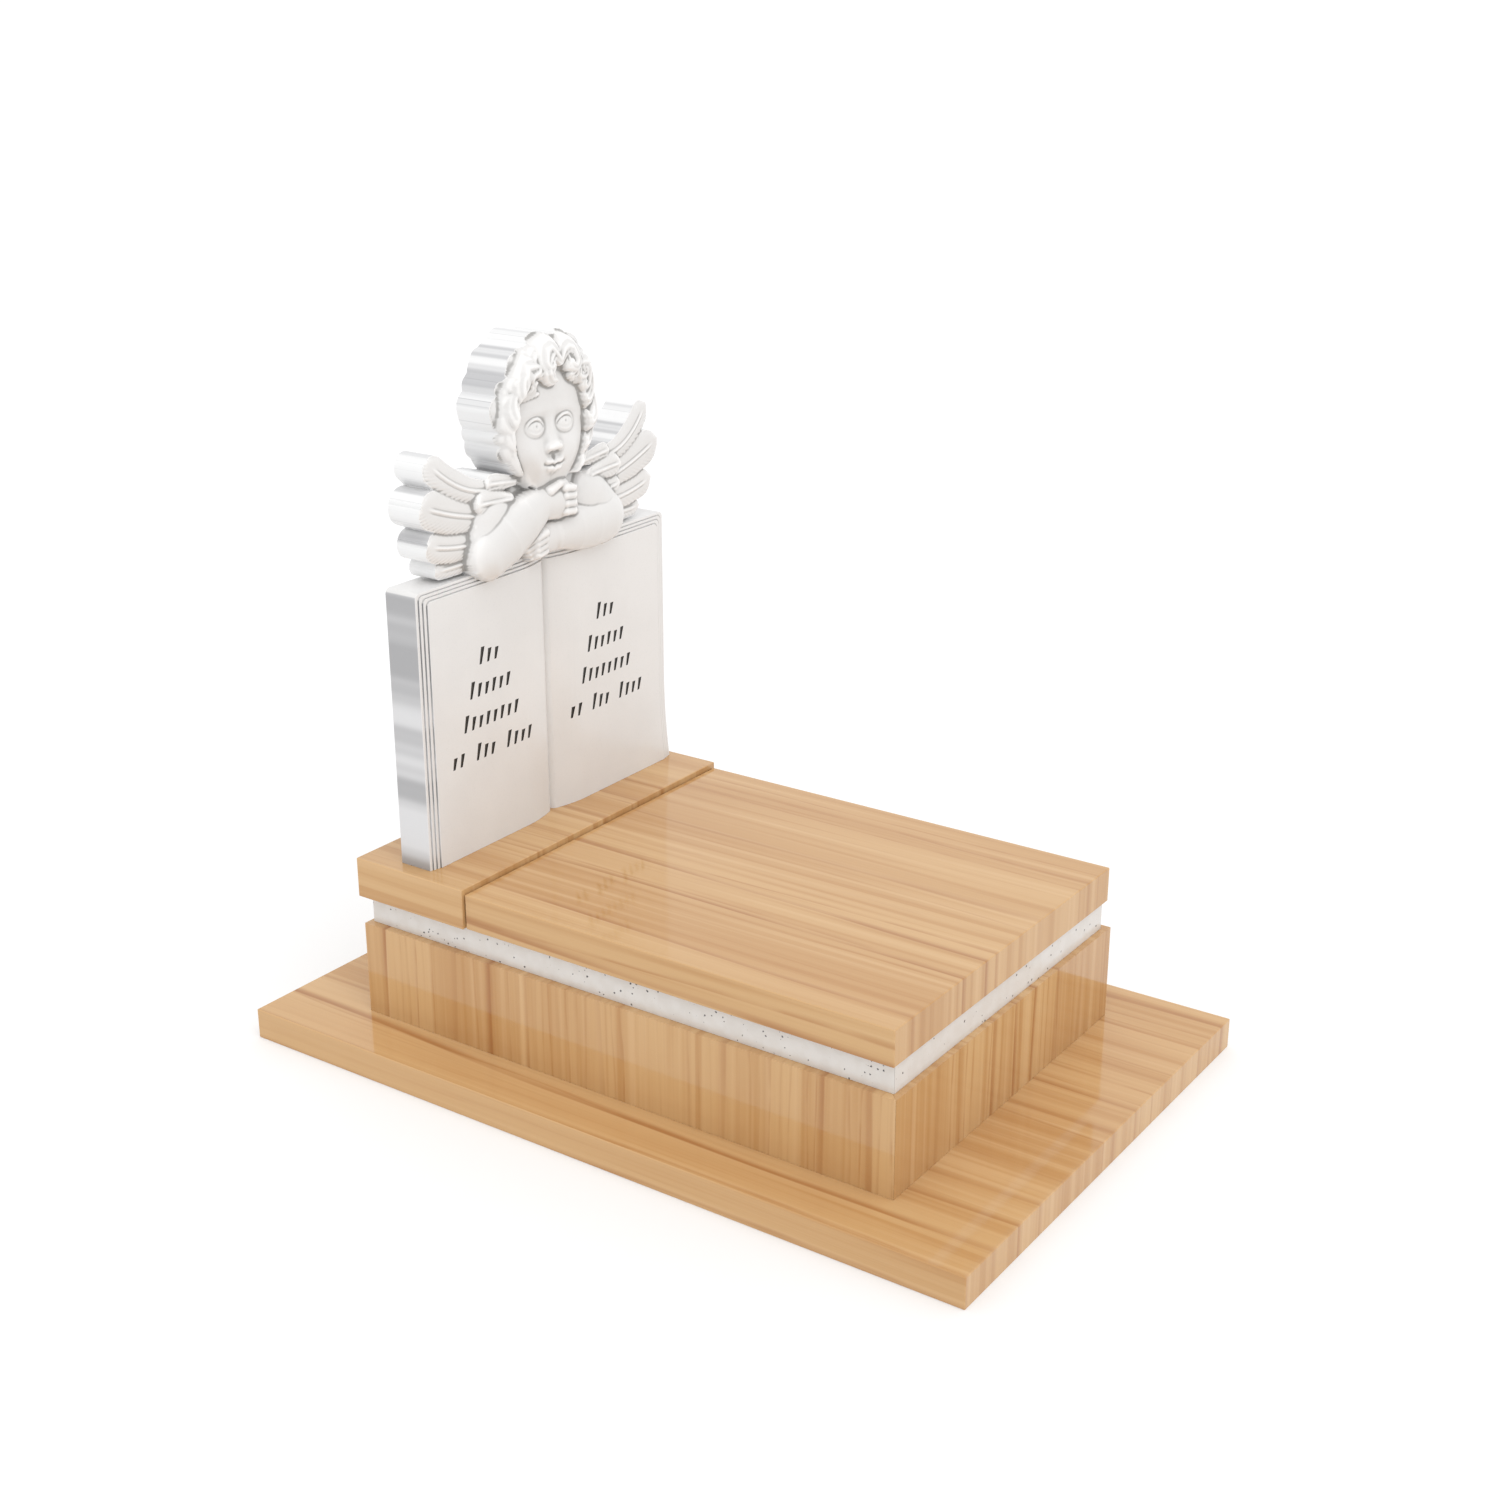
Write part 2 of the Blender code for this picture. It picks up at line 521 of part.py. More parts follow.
def carve_arms(relief):
    # upper arms, the far forearm along the book and its hand
    relief.limb([(-38, 20.5), (-41.5, 10)], [14.3, 12.4], [16.5, 18.5], 0.55)
    relief.limb([(28, 18.2), (37.5, 9)], [14.2, 12.6], [17.0, 18.8], 0.58)
    line = [(38.3, 8.2), (28, 7.9), (16, 8.0), (4, 7.4)]
    relief.limb(line, [12.4, 12.4, 11.2, 7.8], [19.2, 19.6, 19.6, 19.8], 0.66)
    relief.limb([(3, 7.4), (-6, 6.8)], [7.4, 7.0], [19.8, 19.8], 0.60)
    for i in range(4):
        line = [(-7, 10.6 - 2.9 * i), (-13.5, 9.0 - 2.7 * i), (-19.0 + 1.4 * i, 6.2 - 2.1 * i)]
        relief.limb(line, [2.2, 2.1, 1.7], [22.4 - 0.3 * i, 22.2, 20.2], 1.0)
    # the near forearm rising to the fist under the chin
    line = [(-42.5, 8.6), (-32, 13.6), (-19, 19.6), (-8, 24.2)]
    relief.limb(line, [12.4, 13.0, 11.2, 8.4], [19.4, 20.4, 21.0, 21.2], 0.64)
    relief.limb([(-7, 24.2), (2.5, 23.0)], [8.3, 8.4], [21.4, 21.6], 0.66)
    for i in range(4):
        line = [(3.6, 29.4 - 3.6 * i), (9.8, 28.4 - 3.5 * i), (13.3, 25.6 - 3.1 * i)]
        relief.limb(line, [2.3, 2.25, 1.8], [25.6, 25.4, 23.0], 1.0)
    relief.limb([(-6, 29.8), (0, 31.8), (5, 31.4)], [2.5, 2.3, 1.9], [24.8, 24.8, 24.2], 1.0)


def make_figure(name, material):
    """The outline's lattice, set to the relief's depths and drawn straight back to the flat back."""
    across = np.arange(-92, 92 + CELL / 2, CELL)
    up = np.arange(-12, 106 + CELL / 2, CELL)
    x, z = np.meshgrid(across, up, indexing="ij")
    relief = Relief(x, z)
    carve_body(relief)
    carve_wings(relief)
    carve_head(relief)
    carve_hair(relief)
    carve_arms(relief)
    slope_x, slope_z = np.gradient(relief.outline.clip(-4, 4), CELL)
    outline = relief.outline
    corners = outline[:-1, :-1] + outline[1:, 1:] + outline[1:, :-1] + outline[:-1, 1:]
    kept = corners < 0
    # no two kept cells may touch by a corner only
    crossed = ((kept[:-1, :-1] & kept[1:, 1:] & ~kept[1:, :-1] & ~kept[:-1, 1:])
               | (~kept[:-1, :-1] & ~kept[1:, 1:] & kept[1:, :-1] & kept[:-1, 1:]))
    for i, j in np.argwhere(crossed):
        kept[i:i + 2, j:j + 2] = True
    bm = bmesh.new()
    grid = {}
    for i, j in np.argwhere(kept):
        for corner in ((i, j), (i + 1, j), (i + 1, j + 1), (i, j + 1)):
            if corner not in grid:
                grid[corner] = bm.verts.new((across[corner[0]], 0, up[corner[1]]))
        bm.faces.new([grid[(i, j)], grid[(i + 1, j)], grid[(i + 1, j + 1)], grid[(i, j + 1)]])
    deepest = np.where(relief.outline < 0, relief.depth, 0)
    for (i, j), vert in grid.items():
        depth = relief.depth[i, j]
        if vert.is_boundary:
            slope = slope_x[i, j] ** 2 + slope_z[i, j] ** 2 + 1e-6
            pull = max(-0.7 * CELL, min(0.7 * CELL, relief.outline[i, j] / slope))
            vert.co.x -= pull * slope_x[i, j]
            vert.co.z -= pull * slope_z[i, j]
            if relief.outline[i, j] >= 0:
                depth = deepest[max(i - 1, 0):i + 2, max(j - 1, 0):j + 2].max()
        vert.co = (vert.co.x * SHARE, BACK_Y - depth * SHARE, BOOK_TOP_Z + vert.co.z * SHARE)
    walls = bmesh.ops.extrude_face_region(bm, geom=list(bm.faces))["geom"]
    for vert in walls:
        if isinstance(vert, bmesh.types.BMVert):
            vert.co.y = BACK_Y - FIGURE_BACK
    made = add_object(name, bm, material)
    thin = made.modifiers.new("fewer_faces", "DECIMATE")
    thin.ratio = TRIANGLE_SHARE
    made.hide_render = True
    made.display_type = "WIRE"
    return made


for old in list(bpy.data.objects):
    bpy.data.objects.remove(old)

tan_stone = (0.69, 0.44, 0.24)
prism("base_slab", rectangle(SLAB_WIDTH, -SLAB_LENGTH / 2, SLAB_LENGTH / 2), 0.0, SLAB_THICKNESS,
      stone("slab_stone", tan_stone, 0.25), ARRIS)
mitred_ring(("course_side_left", "course_side_right", "course_end_foot", "course_end_head"), COURSE_WIDTH,
            COURSE_FOOT_Y, COURSE_HEAD_Y, COURSE_THICKNESS, COURSE_Z, COURSE_HEIGHT,
            stone("course_stone", tan_stone, 0.25))
mitred_ring(("strip_side_left", "strip_side_right", "strip_end_foot", "strip_end_head"), STRIP_WIDTH,
            STRIP_FOOT_Y, STRIP_HEAD_Y, STRIP_THICKNESS, STRIP_Z, STRIP_HEIGHT,
            stone("strip_stone", (0.77, 0.72, 0.69), 0.25))
prism("cover_slab", rectangle(COVER_WIDTH, COVER_FOOT_Y, COVER_HEAD_Y), COVER_Z, COVER_Z + COVER_THICKNESS,
      stone("cover_stone", tan_stone, 0.2), ARRIS)
prism("headstone_base", rectangle(PLINTH_WIDTH, PLINTH_FOOT_Y, PLINTH_HEAD_Y), COVER_Z,
      COVER_Z + PLINTH_THICKNESS, stone("plinth_stone", tan_stone, 0.25), ARRIS)
white_stone = stone("headstone_stone", (0.80, 0.78, 0.76), 0.4)
figure = make_figure("figure_form", white_stone)
headstone = make_book("book_headstone", white_stone)
join = headstone.modifiers.new("figure", "BOOLEAN")
join.operation = "UNION"
join.solver = "EXACT"
join.object = figure
strokes = make_strokes("stroke_forms", white_stone)
carve = headstone.modifiers.new("inscription", "BOOLEAN")
carve.operation = "DIFFERENCE"
carve.solver = "EXACT"
carve.object = strokes
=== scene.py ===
import math

import bmesh
import bpy
import numpy as np
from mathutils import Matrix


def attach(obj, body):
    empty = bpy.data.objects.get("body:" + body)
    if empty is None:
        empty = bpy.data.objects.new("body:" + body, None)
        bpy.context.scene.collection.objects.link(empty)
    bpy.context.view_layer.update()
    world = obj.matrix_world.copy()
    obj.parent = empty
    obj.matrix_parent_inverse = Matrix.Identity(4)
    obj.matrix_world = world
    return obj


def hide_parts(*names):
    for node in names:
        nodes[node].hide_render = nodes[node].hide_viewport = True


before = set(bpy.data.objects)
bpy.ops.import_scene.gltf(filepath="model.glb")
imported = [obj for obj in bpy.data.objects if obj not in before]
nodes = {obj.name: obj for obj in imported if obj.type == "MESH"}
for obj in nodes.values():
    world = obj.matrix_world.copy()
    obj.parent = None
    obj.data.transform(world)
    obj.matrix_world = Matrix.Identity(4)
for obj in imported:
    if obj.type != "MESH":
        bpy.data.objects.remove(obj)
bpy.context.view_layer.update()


# Base slab
# A flat slab of wood-like sandstone, polished, with its brown streaks running along
# the grave. It lies on the ground and carries everything else.

SAND_TONES = ((0.60, 0.375, 0.175, 1), (0.52, 0.295, 0.122, 1))
BROWN_BAND = (0.46, 0.235, 0.082, 1)
PALE_BAND = (0.66, 0.435, 0.225, 1)
FINE_STREAK = (0.43, 0.21, 0.075, 1)
BOLD_STREAK = (0.36, 0.15, 0.045, 1)
GRAIN_THREAD = (0.40, 0.20, 0.08, 1)
FINE_STREAKS_PER_METRE = 32.0
BOLD_STREAKS_PER_METRE = 11.0
UPRIGHT_DENSITY = 1.5
SLAB_POLISH = 0.08
SIDE_FACE = 0.6


def make_material(name, roughness):
    material = bpy.data.materials.new(name)
    material.use_nodes = True
    shader = material.node_tree.nodes["Principled BSDF"]
    shader.inputs["Roughness"].default_value = roughness
    return material, material.node_tree, shader


def add_node(tree, kind, inputs, **settings):
    node = tree.nodes.new(kind)
    for key, value in settings.items():
        setattr(node, key, value)
    for socket, value in inputs.items():
        if isinstance(value, bpy.types.NodeSocket):
            tree.links.new(value, node.inputs[socket])
        else:
            node.inputs[socket].default_value = value
    return node


def reckon(tree, operation, *values):
    return add_node(tree, "ShaderNodeMath", dict(enumerate(values)), operation=operation).outputs[0]


def fade(tree, value, low, high, to_low=0.0, to_high=1.0):
    """A smooth step of the value from low to high."""
    inputs = {"Value": value, "From Min": low, "From Max": high, "To Min": to_low, "To Max": to_high}
    return add_node(tree, "ShaderNodeMapRange", inputs, interpolation_type="SMOOTHSTEP").outputs[0]


def cloud(tree, place, scale, detail=2.0, roughness=0.5):
    inputs = {"Vector": place, "Scale": scale, "Detail": detail, "Roughness": roughness}
    return add_node(tree, "ShaderNodeTexNoise", inputs).outputs["Fac"]


def blend_colours(tree, share, first, second):
    return add_node(tree, "ShaderNodeMix", {0: share, 6: first, 7: second}, data_type="RGBA").outputs[2]


def object_place(tree):
    return add_node(tree, "ShaderNodeTexCoord", {}).outputs["Object"]


def axes_of(tree, vector):
    return add_node(tree, "ShaderNodeSeparateXYZ", {0: vector}).outputs


def spot(tree, *values):
    return add_node(tree, "ShaderNodeCombineXYZ", dict(enumerate(values))).outputs[0]


def facing(tree, axis):
    """How squarely the surface faces along the axis, either way."""
    normal = add_node(tree, "ShaderNodeNewGeometry", {}).outputs["Normal"]
    return reckon(tree, "ABSOLUTE", axes_of(tree, normal)[axis])


def roughen(tree, shader, height):
    """The last unevenness that polishing leaves."""
    grain = add_node(tree, "ShaderNodeBump", {"Strength": 0.03, "Distance": 0.001, "Height": height})
    tree.links.new(grain.outputs[0], shader.inputs["Normal"])


def streaked_stone(name, upright=None, seed=0.0):
    """Polished sandstone, its streaks along Y, or upright and changing along the given axis."""
    material, tree, shader = make_material(name, SLAB_POLISH)
    axes = axes_of(tree, object_place(tree))
    if upright:
        across, along, density = axes[upright], axes["Z"], UPRIGHT_DENSITY
    else:
        on_side = reckon(tree, "GREATER_THAN", facing(tree, "X"), SIDE_FACE)
        across = reckon(tree, "MULTIPLY_ADD", axes["Z"], on_side, axes["X"])
        along, density = axes["Y"], 1.0

    def bands(stretch, scale, detail, roughness, salt=0.0):
        """Soft bands, the longer drawn out the smaller the stretch."""
        place = spot(tree, across, reckon(tree, "MULTIPLY", along, stretch), seed + salt)
        return cloud(tree, place, scale, detail, roughness)

    def streaks(per_metre, sway, width, shoulder, salt):
        """Lines at uneven spacing, each of its own strength, crisp on one side and soft on the other."""
        shift = reckon(tree, "MULTIPLY", bands(0.10, per_metre * 0.35, 2.0, 0.5, salt), sway)
        turn = reckon(tree, "MULTIPLY_ADD", across, per_metre, shift)
        part = reckon(tree, "FRACT", turn)
        number = reckon(tree, "ADD", reckon(tree, "FLOOR", turn), seed + salt)
        chance = add_node(tree, "ShaderNodeTexWhiteNoise", {"W": number}, noise_dimensions="1D")
        strength = reckon(tree, "POWER", chance.outputs["Value"], 1.6)
        line = reckon(tree, "MULTIPLY", fade(tree, part, 0.0, width), fade(tree, part, shoulder, width))
        worn = fade(tree, bands(0.30, per_metre * 0.8, 1.0, 0.5, salt + 5), 0.30, 0.62, 0.35, 1.0)
        return reckon(tree, "MULTIPLY", reckon(tree, "MULTIPLY", line, worn), strength)

    broad = bands(0.06, 6.0, 2.0, 0.5)
    stripe = bands(0.015, 40.0, 2.0, 0.5)
    thread = bands(0.008, 230.0, 2.0, 0.6)
    fine = streaks(FINE_STREAKS_PER_METRE * density, 2.2, 0.10, 0.42, 2.6)
    bold = streaks(BOLD_STREAKS_PER_METRE, 1.7, 0.05, 0.24, 8.2)
    colour = blend_colours(tree, fade(tree, broad, 0.36, 0.64), *SAND_TONES)
    for share, tint in ((fade(tree, stripe, 0.50, 0.66, 0.0, 0.55), BROWN_BAND),
                        (fade(tree, stripe, 0.48, 0.32, 0.0, 0.50), PALE_BAND),
                        (reckon(tree, "MULTIPLY", fine, 0.70), FINE_STREAK),
                        (reckon(tree, "MULTIPLY", bold, 0.95), BOLD_STREAK),
                        (fade(tree, thread, 0.50, 0.72, 0.0, 0.10), GRAIN_THREAD)):
        colour = blend_colours(tree, share, colour, tint)
    tree.links.new(colour, shader.inputs["Base Color"])
    tree.links.new(fade(tree, thread, 0.35, 0.65, 0.06, 0.10), shader.inputs["Roughness"])
    roughen(tree, shader, stripe)
    return material


def dress(node_name, material):
    node = nodes[node_name]
    node.data.materials.clear()
    node.data.materials.append(material)


dress("base_slab", streaked_stone("slab_stone", None, 1.3))


# Course of upright boards
# Four boards of the same stone stand on edge round a hollow, mitred at the corners and
# bedded on the slab. Their streaks stand upright.

for board, axis, seed in (("course_side_left", "Y", 3.1), ("course_side_right", "Y", 4.7),
                          ("course_end_foot", "X", 5.9), ("course_end_head", "X", 7.3)):
    dress(board, streaked_stone(board + "_stone", axis, seed))


# Speckled strip
# A low frame of white cast stone with dark and sandy specks, polished, set a little
# inside the boards and glued between them and the cover.

STRIP_POLISH = 0.18
STRIP_TONES = ((0.70, 0.675, 0.645, 1), (0.67, 0.64, 0.605, 1))
# scale, share of cells that hold a speck, smallest and largest radius in cells, speck's colours
SPECKS = ((150.0, 0.20, 0.06, 0.18, (0.42, 0.40, 0.38, 1), (0.60, 0.53, 0.44, 1)),
          (80.0, 0.50, 0.08, 0.20, (0.035, 0.04, 0.05, 1), (0.12, 0.11, 0.11, 1)))
SPECK_SHAKE = 0.004
SPECK_CORE = 0.75


def speckled_stone(name):
    material, tree, shader = make_material(name, STRIP_POLISH)
    place = object_place(tree)
    wobble = add_node(tree, "ShaderNodeTexNoise", {"Vector": place, "Scale": 260.0, "Detail": 1.0})
    shaken = add_node(tree, "ShaderNodeVectorMath",
                      {0: wobble.outputs["Color"], 1: (SPECK_SHAKE,) * 3, 2: place}, operation="MULTIPLY_ADD")
    colour = blend_colours(tree, fade(tree, cloud(tree, place, 42.0, 3.0), 0.35, 0.65), *STRIP_TONES)
    for scale, amount, small, large, dark, light in SPECKS:
        cells = add_node(tree, "ShaderNodeTexVoronoi", {"Vector": shaken.outputs[0], "Scale": scale})
        chance = add_node(tree, "ShaderNodeSeparateColor", {0: cells.outputs["Color"]}).outputs
        rim = fade(tree, chance["Green"], 0.0, 1.0, small, large)
        core = reckon(tree, "MULTIPLY", rim, SPECK_CORE)
        inputs = {"Value": cells.outputs["Distance"], "From Min": rim, "From Max": core}
        speck = add_node(tree, "ShaderNodeMapRange", inputs).outputs[0]
        held = reckon(tree, "LESS_THAN", chance["Red"], amount)
        tint = blend_colours(tree, chance["Blue"], dark, light)
        colour = blend_colours(tree, reckon(tree, "MULTIPLY", speck, held), colour, tint)
    tree.links.new(colour, shader.inputs["Base Color"])
    return material


strip_stone = speckled_stone("strip_stone")
for piece in ("strip_side_left", "strip_side_right", "strip_end_foot", "strip_end_head"):
    dress(piece, strip_stone)


# Cover slab and headstone base
# Two thick polished slabs of the streaked stone, side by side on the strip. The base
# for the headstone is a little thicker and wider than the cover.

dress("cover_slab", streaked_stone("cover_stone", None, 9.2))
dress("headstone_base", streaked_stone("headstone_base_stone", None, 12.6))


# Open book headstone
# One block of white marble, flat behind. Its front is an open book whose two pages
# rise from three leaves; a winged cherub leans on the top edge. It stands on its base.

BACK_Y = 0.531
BOOK_Z = 0.3888
BOOK_WIDTH = 0.744
BOOK_HEIGHT = 0.545
BOOK_TOP_Z = BOOK_Z + BOOK_HEIGHT
BOOK_EDGE_DEPTH = 0.073
BOOK_CORNER = 0.011
CORNER_STEPS = 10
EDGE_ROUND = 0.0015
LEAF_COUNT = 3
LEAF_STEP = 0.002
LEAF_INSET = 0.0085
LEAF_GROOVE_WIDTH = 0.002
LEAF_GROOVE_DEPTH = 0.0025
LEAF_ARRIS = 0.0005
TOP_INSET_RATIO = 0.78
GUTTER_HALF_WIDTH = 0.085
GUTTER_DIP = 0.016
FOLD_HALF_WIDTH = 0.010
FOLD_DEPTH = 0.009
FLARE = 0.015
FLARE_HEIGHT = 0.190
FLARE_STEPS = 16


def leaf_profile():
    """Inset and depth, from the back edge over each leaf and its groove to the page."""
    profile = [(0.0, 0.0), (0.0, BOOK_EDGE_DEPTH - EDGE_ROUND), (LEAF_ARRIS, BOOK_EDGE_DEPTH - LEAF_ARRIS),
               (EDGE_ROUND, BOOK_EDGE_DEPTH)]
    depth = BOOK_EDGE_DEPTH
    for leaf in range(LEAF_COUNT):
        inset = LEAF_INSET * (leaf + 1) - LEAF_GROOVE_WIDTH
        profile += [(inset - LEAF_ARRIS, depth), (inset, depth - LEAF_ARRIS),
                    (inset, depth - LEAF_GROOVE_DEPTH)]
        inset += LEAF_GROOVE_WIDTH
        profile.append((inset, depth - LEAF_GROOVE_DEPTH))
        depth += LEAF_STEP
        profile += [(inset, depth - LEAF_ARRIS), (inset + LEAF_ARRIS, depth)]
    return profile


PAGE_Y = BACK_Y - leaf_profile()[-1][1]


def gutter(x):
    """How far the pages sink towards the fold between them, and into it."""
    out = min(abs(x) / GUTTER_HALF_WIDTH, 1.0)
    fold = max(1 - abs(x) / FOLD_HALF_WIDTH, 0.0)
    return GUTTER_DIP * (1 - out) ** 1.7 + FOLD_DEPTH * fold ** 1.4


def gutter_columns():
    ends = [GUTTER_HALF_WIDTH * share for share in (1.0, 0.82, 0.65, 0.49, 0.35, 0.22)]
    ends += [FOLD_HALF_WIDTH * share for share in (1.0, 0.75, 0.45, 0.18)]
    return [-x for x in ends] + [0.0] + ends[::-1]


def book_path(inset):
    """The book's edge from its lower left corner over the top to its lower right one."""
    left, right = inset - BOOK_WIDTH / 2, BOOK_WIDTH / 2 - inset
    top = BOOK_TOP_Z - inset * TOP_INSET_RATIO
    arc = [math.pi / 2 * step / CORNER_STEPS for step in range(CORNER_STEPS + 1)]
    corner = [(BOOK_CORNER * (1 - math.cos(a)), top - BOOK_CORNER * (1 - math.sin(a))) for a in arc]
    path = [(left, BOOK_Z)] + [(left + x, z) for x, z in corner]
    path += [(x, top) for x in gutter_columns()]
    path += [(right - x, z) for x, z in reversed(corner)]
    for step in range(FLARE_STEPS):
        share = 1 - step / FLARE_STEPS
        path.append((right + FLARE * (1 - share) ** 2, BOOK_Z + FLARE_HEIGHT * share))
    path.append((right + FLARE, BOOK_Z))
    return path


def finish_mesh(name, bm):
    mesh = bpy.data.meshes.new(name)
    bm.to_mesh(mesh)
    bm.free()
    made = bpy.data.objects.new(name, mesh)
    bpy.context.scene.collection.objects.link(made)
    return made


def make_book(name):
    """The edge's line is drawn forward and inward, step by step, then closed by the pages and the back."""
    bm = bmesh.new()
    line = [bm.verts.new((x, BACK_Y, z)) for x, z in book_path(0.0)]
    rings = [line]
    edges = [bm.edges.new(pair) for pair in zip(line, line[1:])]
    for inset, depth in leaf_profile()[1:]:
        drawn = bmesh.ops.extrude_edge_only(bm, edges=edges)["geom"]
        fresh = {part for part in drawn if isinstance(part, bmesh.types.BMVert)}
        edges = [part for part in drawn
                 if isinstance(part, bmesh.types.BMEdge) and fresh.issuperset(part.verts)]
        line = [next(edge.other_vert(vert) for edge in vert.link_edges if edge.other_vert(vert) in fresh)
                for vert in line]
        rings.append(line)
        for vert, (x, z) in zip(line, book_path(inset)):
            vert.co = (x, BACK_Y - depth + gutter(x), z)
    # the line's point where the gutter starts, after its foot and the rounded corner
    first = CORNER_STEPS + 2
    columns = gutter_columns()
    feet = [bm.verts.new((x, PAGE_Y + gutter(x), BOOK_Z)) for x in columns]
    page = rings[-1]
    tops = page[first:first + len(columns)]
    for i in range(len(columns) - 1):
        bm.faces.new((tops[i], tops[i + 1], feet[i + 1], feet[i]))
    bm.faces.new(page[:first + 1] + [feet[0]])
    bm.faces.new([feet[-1]] + page[first + len(columns) - 1:])
    bm.faces.new([ring[0] for ring in rings] + feet + [ring[-1] for ring in reversed(rings)])
    bm.faces.new(rings[0])
    bmesh.ops.recalc_face_normals(bm, faces=bm.faces)
    return finish_mesh(name, bm)


# The cherub is laid out in shares of its height above the book: depths in front of the
# flat back over an outline, with every form drawn straight back to the back.

FIGURE_HEIGHT = 0.427
SHARE = FIGURE_HEIGHT / 100
# the grid's step, lower left corner and size
CELL = 0.48
GRID_LEFT, GRID_FOOT = -92, -12
GRID_WIDTH, GRID_HEIGHT = 184, 118
# how far the relief is softened, and how many steps its edge may move to the true outline
SOFTENING = 0.3
OUTLINE_PULL = 0.7
HEAD_CENTRE = (-2.2, 62.6)
HEAD_HALF = (29.5, 34.0)
FACE_HALF = (21.6, 28.0)
FACE_DROP = 8
HEAD_TILT = math.radians(1)
HEAD_TURN = math.radians(9)
HEAD_NOD = math.radians(4)
FACE_DEPTH = 17.8
FACE_RISE = 9.8
HAIR_SINK = 2.8


def follow(line, x, z):
    """How far along the line each place lies, and its distance to the left or right of it."""
    lengths = np.hypot(*np.diff(line, axis=0).T)
    nearest = np.full(x.shape, 1e9)
    along = np.zeros(x.shape)
    side = np.zeros(x.shape)
    passed = 0.0
    for (ax, az), (bx, bz), length in zip(line[:-1], line[1:], lengths):
        ux, uz = (bx - ax) / length, (bz - az) / length
        step = np.clip((x - ax) * ux + (z - az) * uz, 0, length)
        ox, oz = x - ax - step * ux, z - az - step * uz
        distance = np.hypot(ox, oz)
        near = distance < nearest
        nearest = np.where(near, distance, nearest)
        along = np.where(near, (passed + step) / lengths.sum(), along)
        side = np.where(near, np.where(ux * oz - uz * ox < 0, -distance, distance), side)
        passed += length
    return along, side


def bend(start, middle, end, count):
    """A curve that leaves its start and reaches its end along lines from the middle point."""
    t = np.linspace(0, 1, count)[:, None]
    return (1 - t) ** 2 * np.array(start) + 2 * t * (1 - t) * np.array(middle) + t ** 2 * np.array(end)


def curl(start, heading, length, turn_first, turn_last, count=14):
    """A line that sets off on its heading and turns at a rate that grows along it."""
    share = (np.arange(count) + 0.5) / count
    turned = np.cumsum(np.radians(turn_first + (turn_last - turn_first) * share)) / count
    angle = math.radians(heading) + turned
    steps = length / count * np.stack([np.cos(angle), np.sin(angle)], axis=1)
    return np.vstack([start, np.array(start) + np.cumsum(steps, axis=0)])


def mound(x, z, at, spread, turn=0.0):
    """A soft oval swelling of height one."""
    c, s = math.cos(math.radians(turn)), math.sin(math.radians(turn))
    dx, dz = x - at[0], z - at[1]
    return np.exp(-((dx * c + dz * s) / spread[0]) ** 2 - ((dz * c - dx * s) / spread[1]) ** 2)


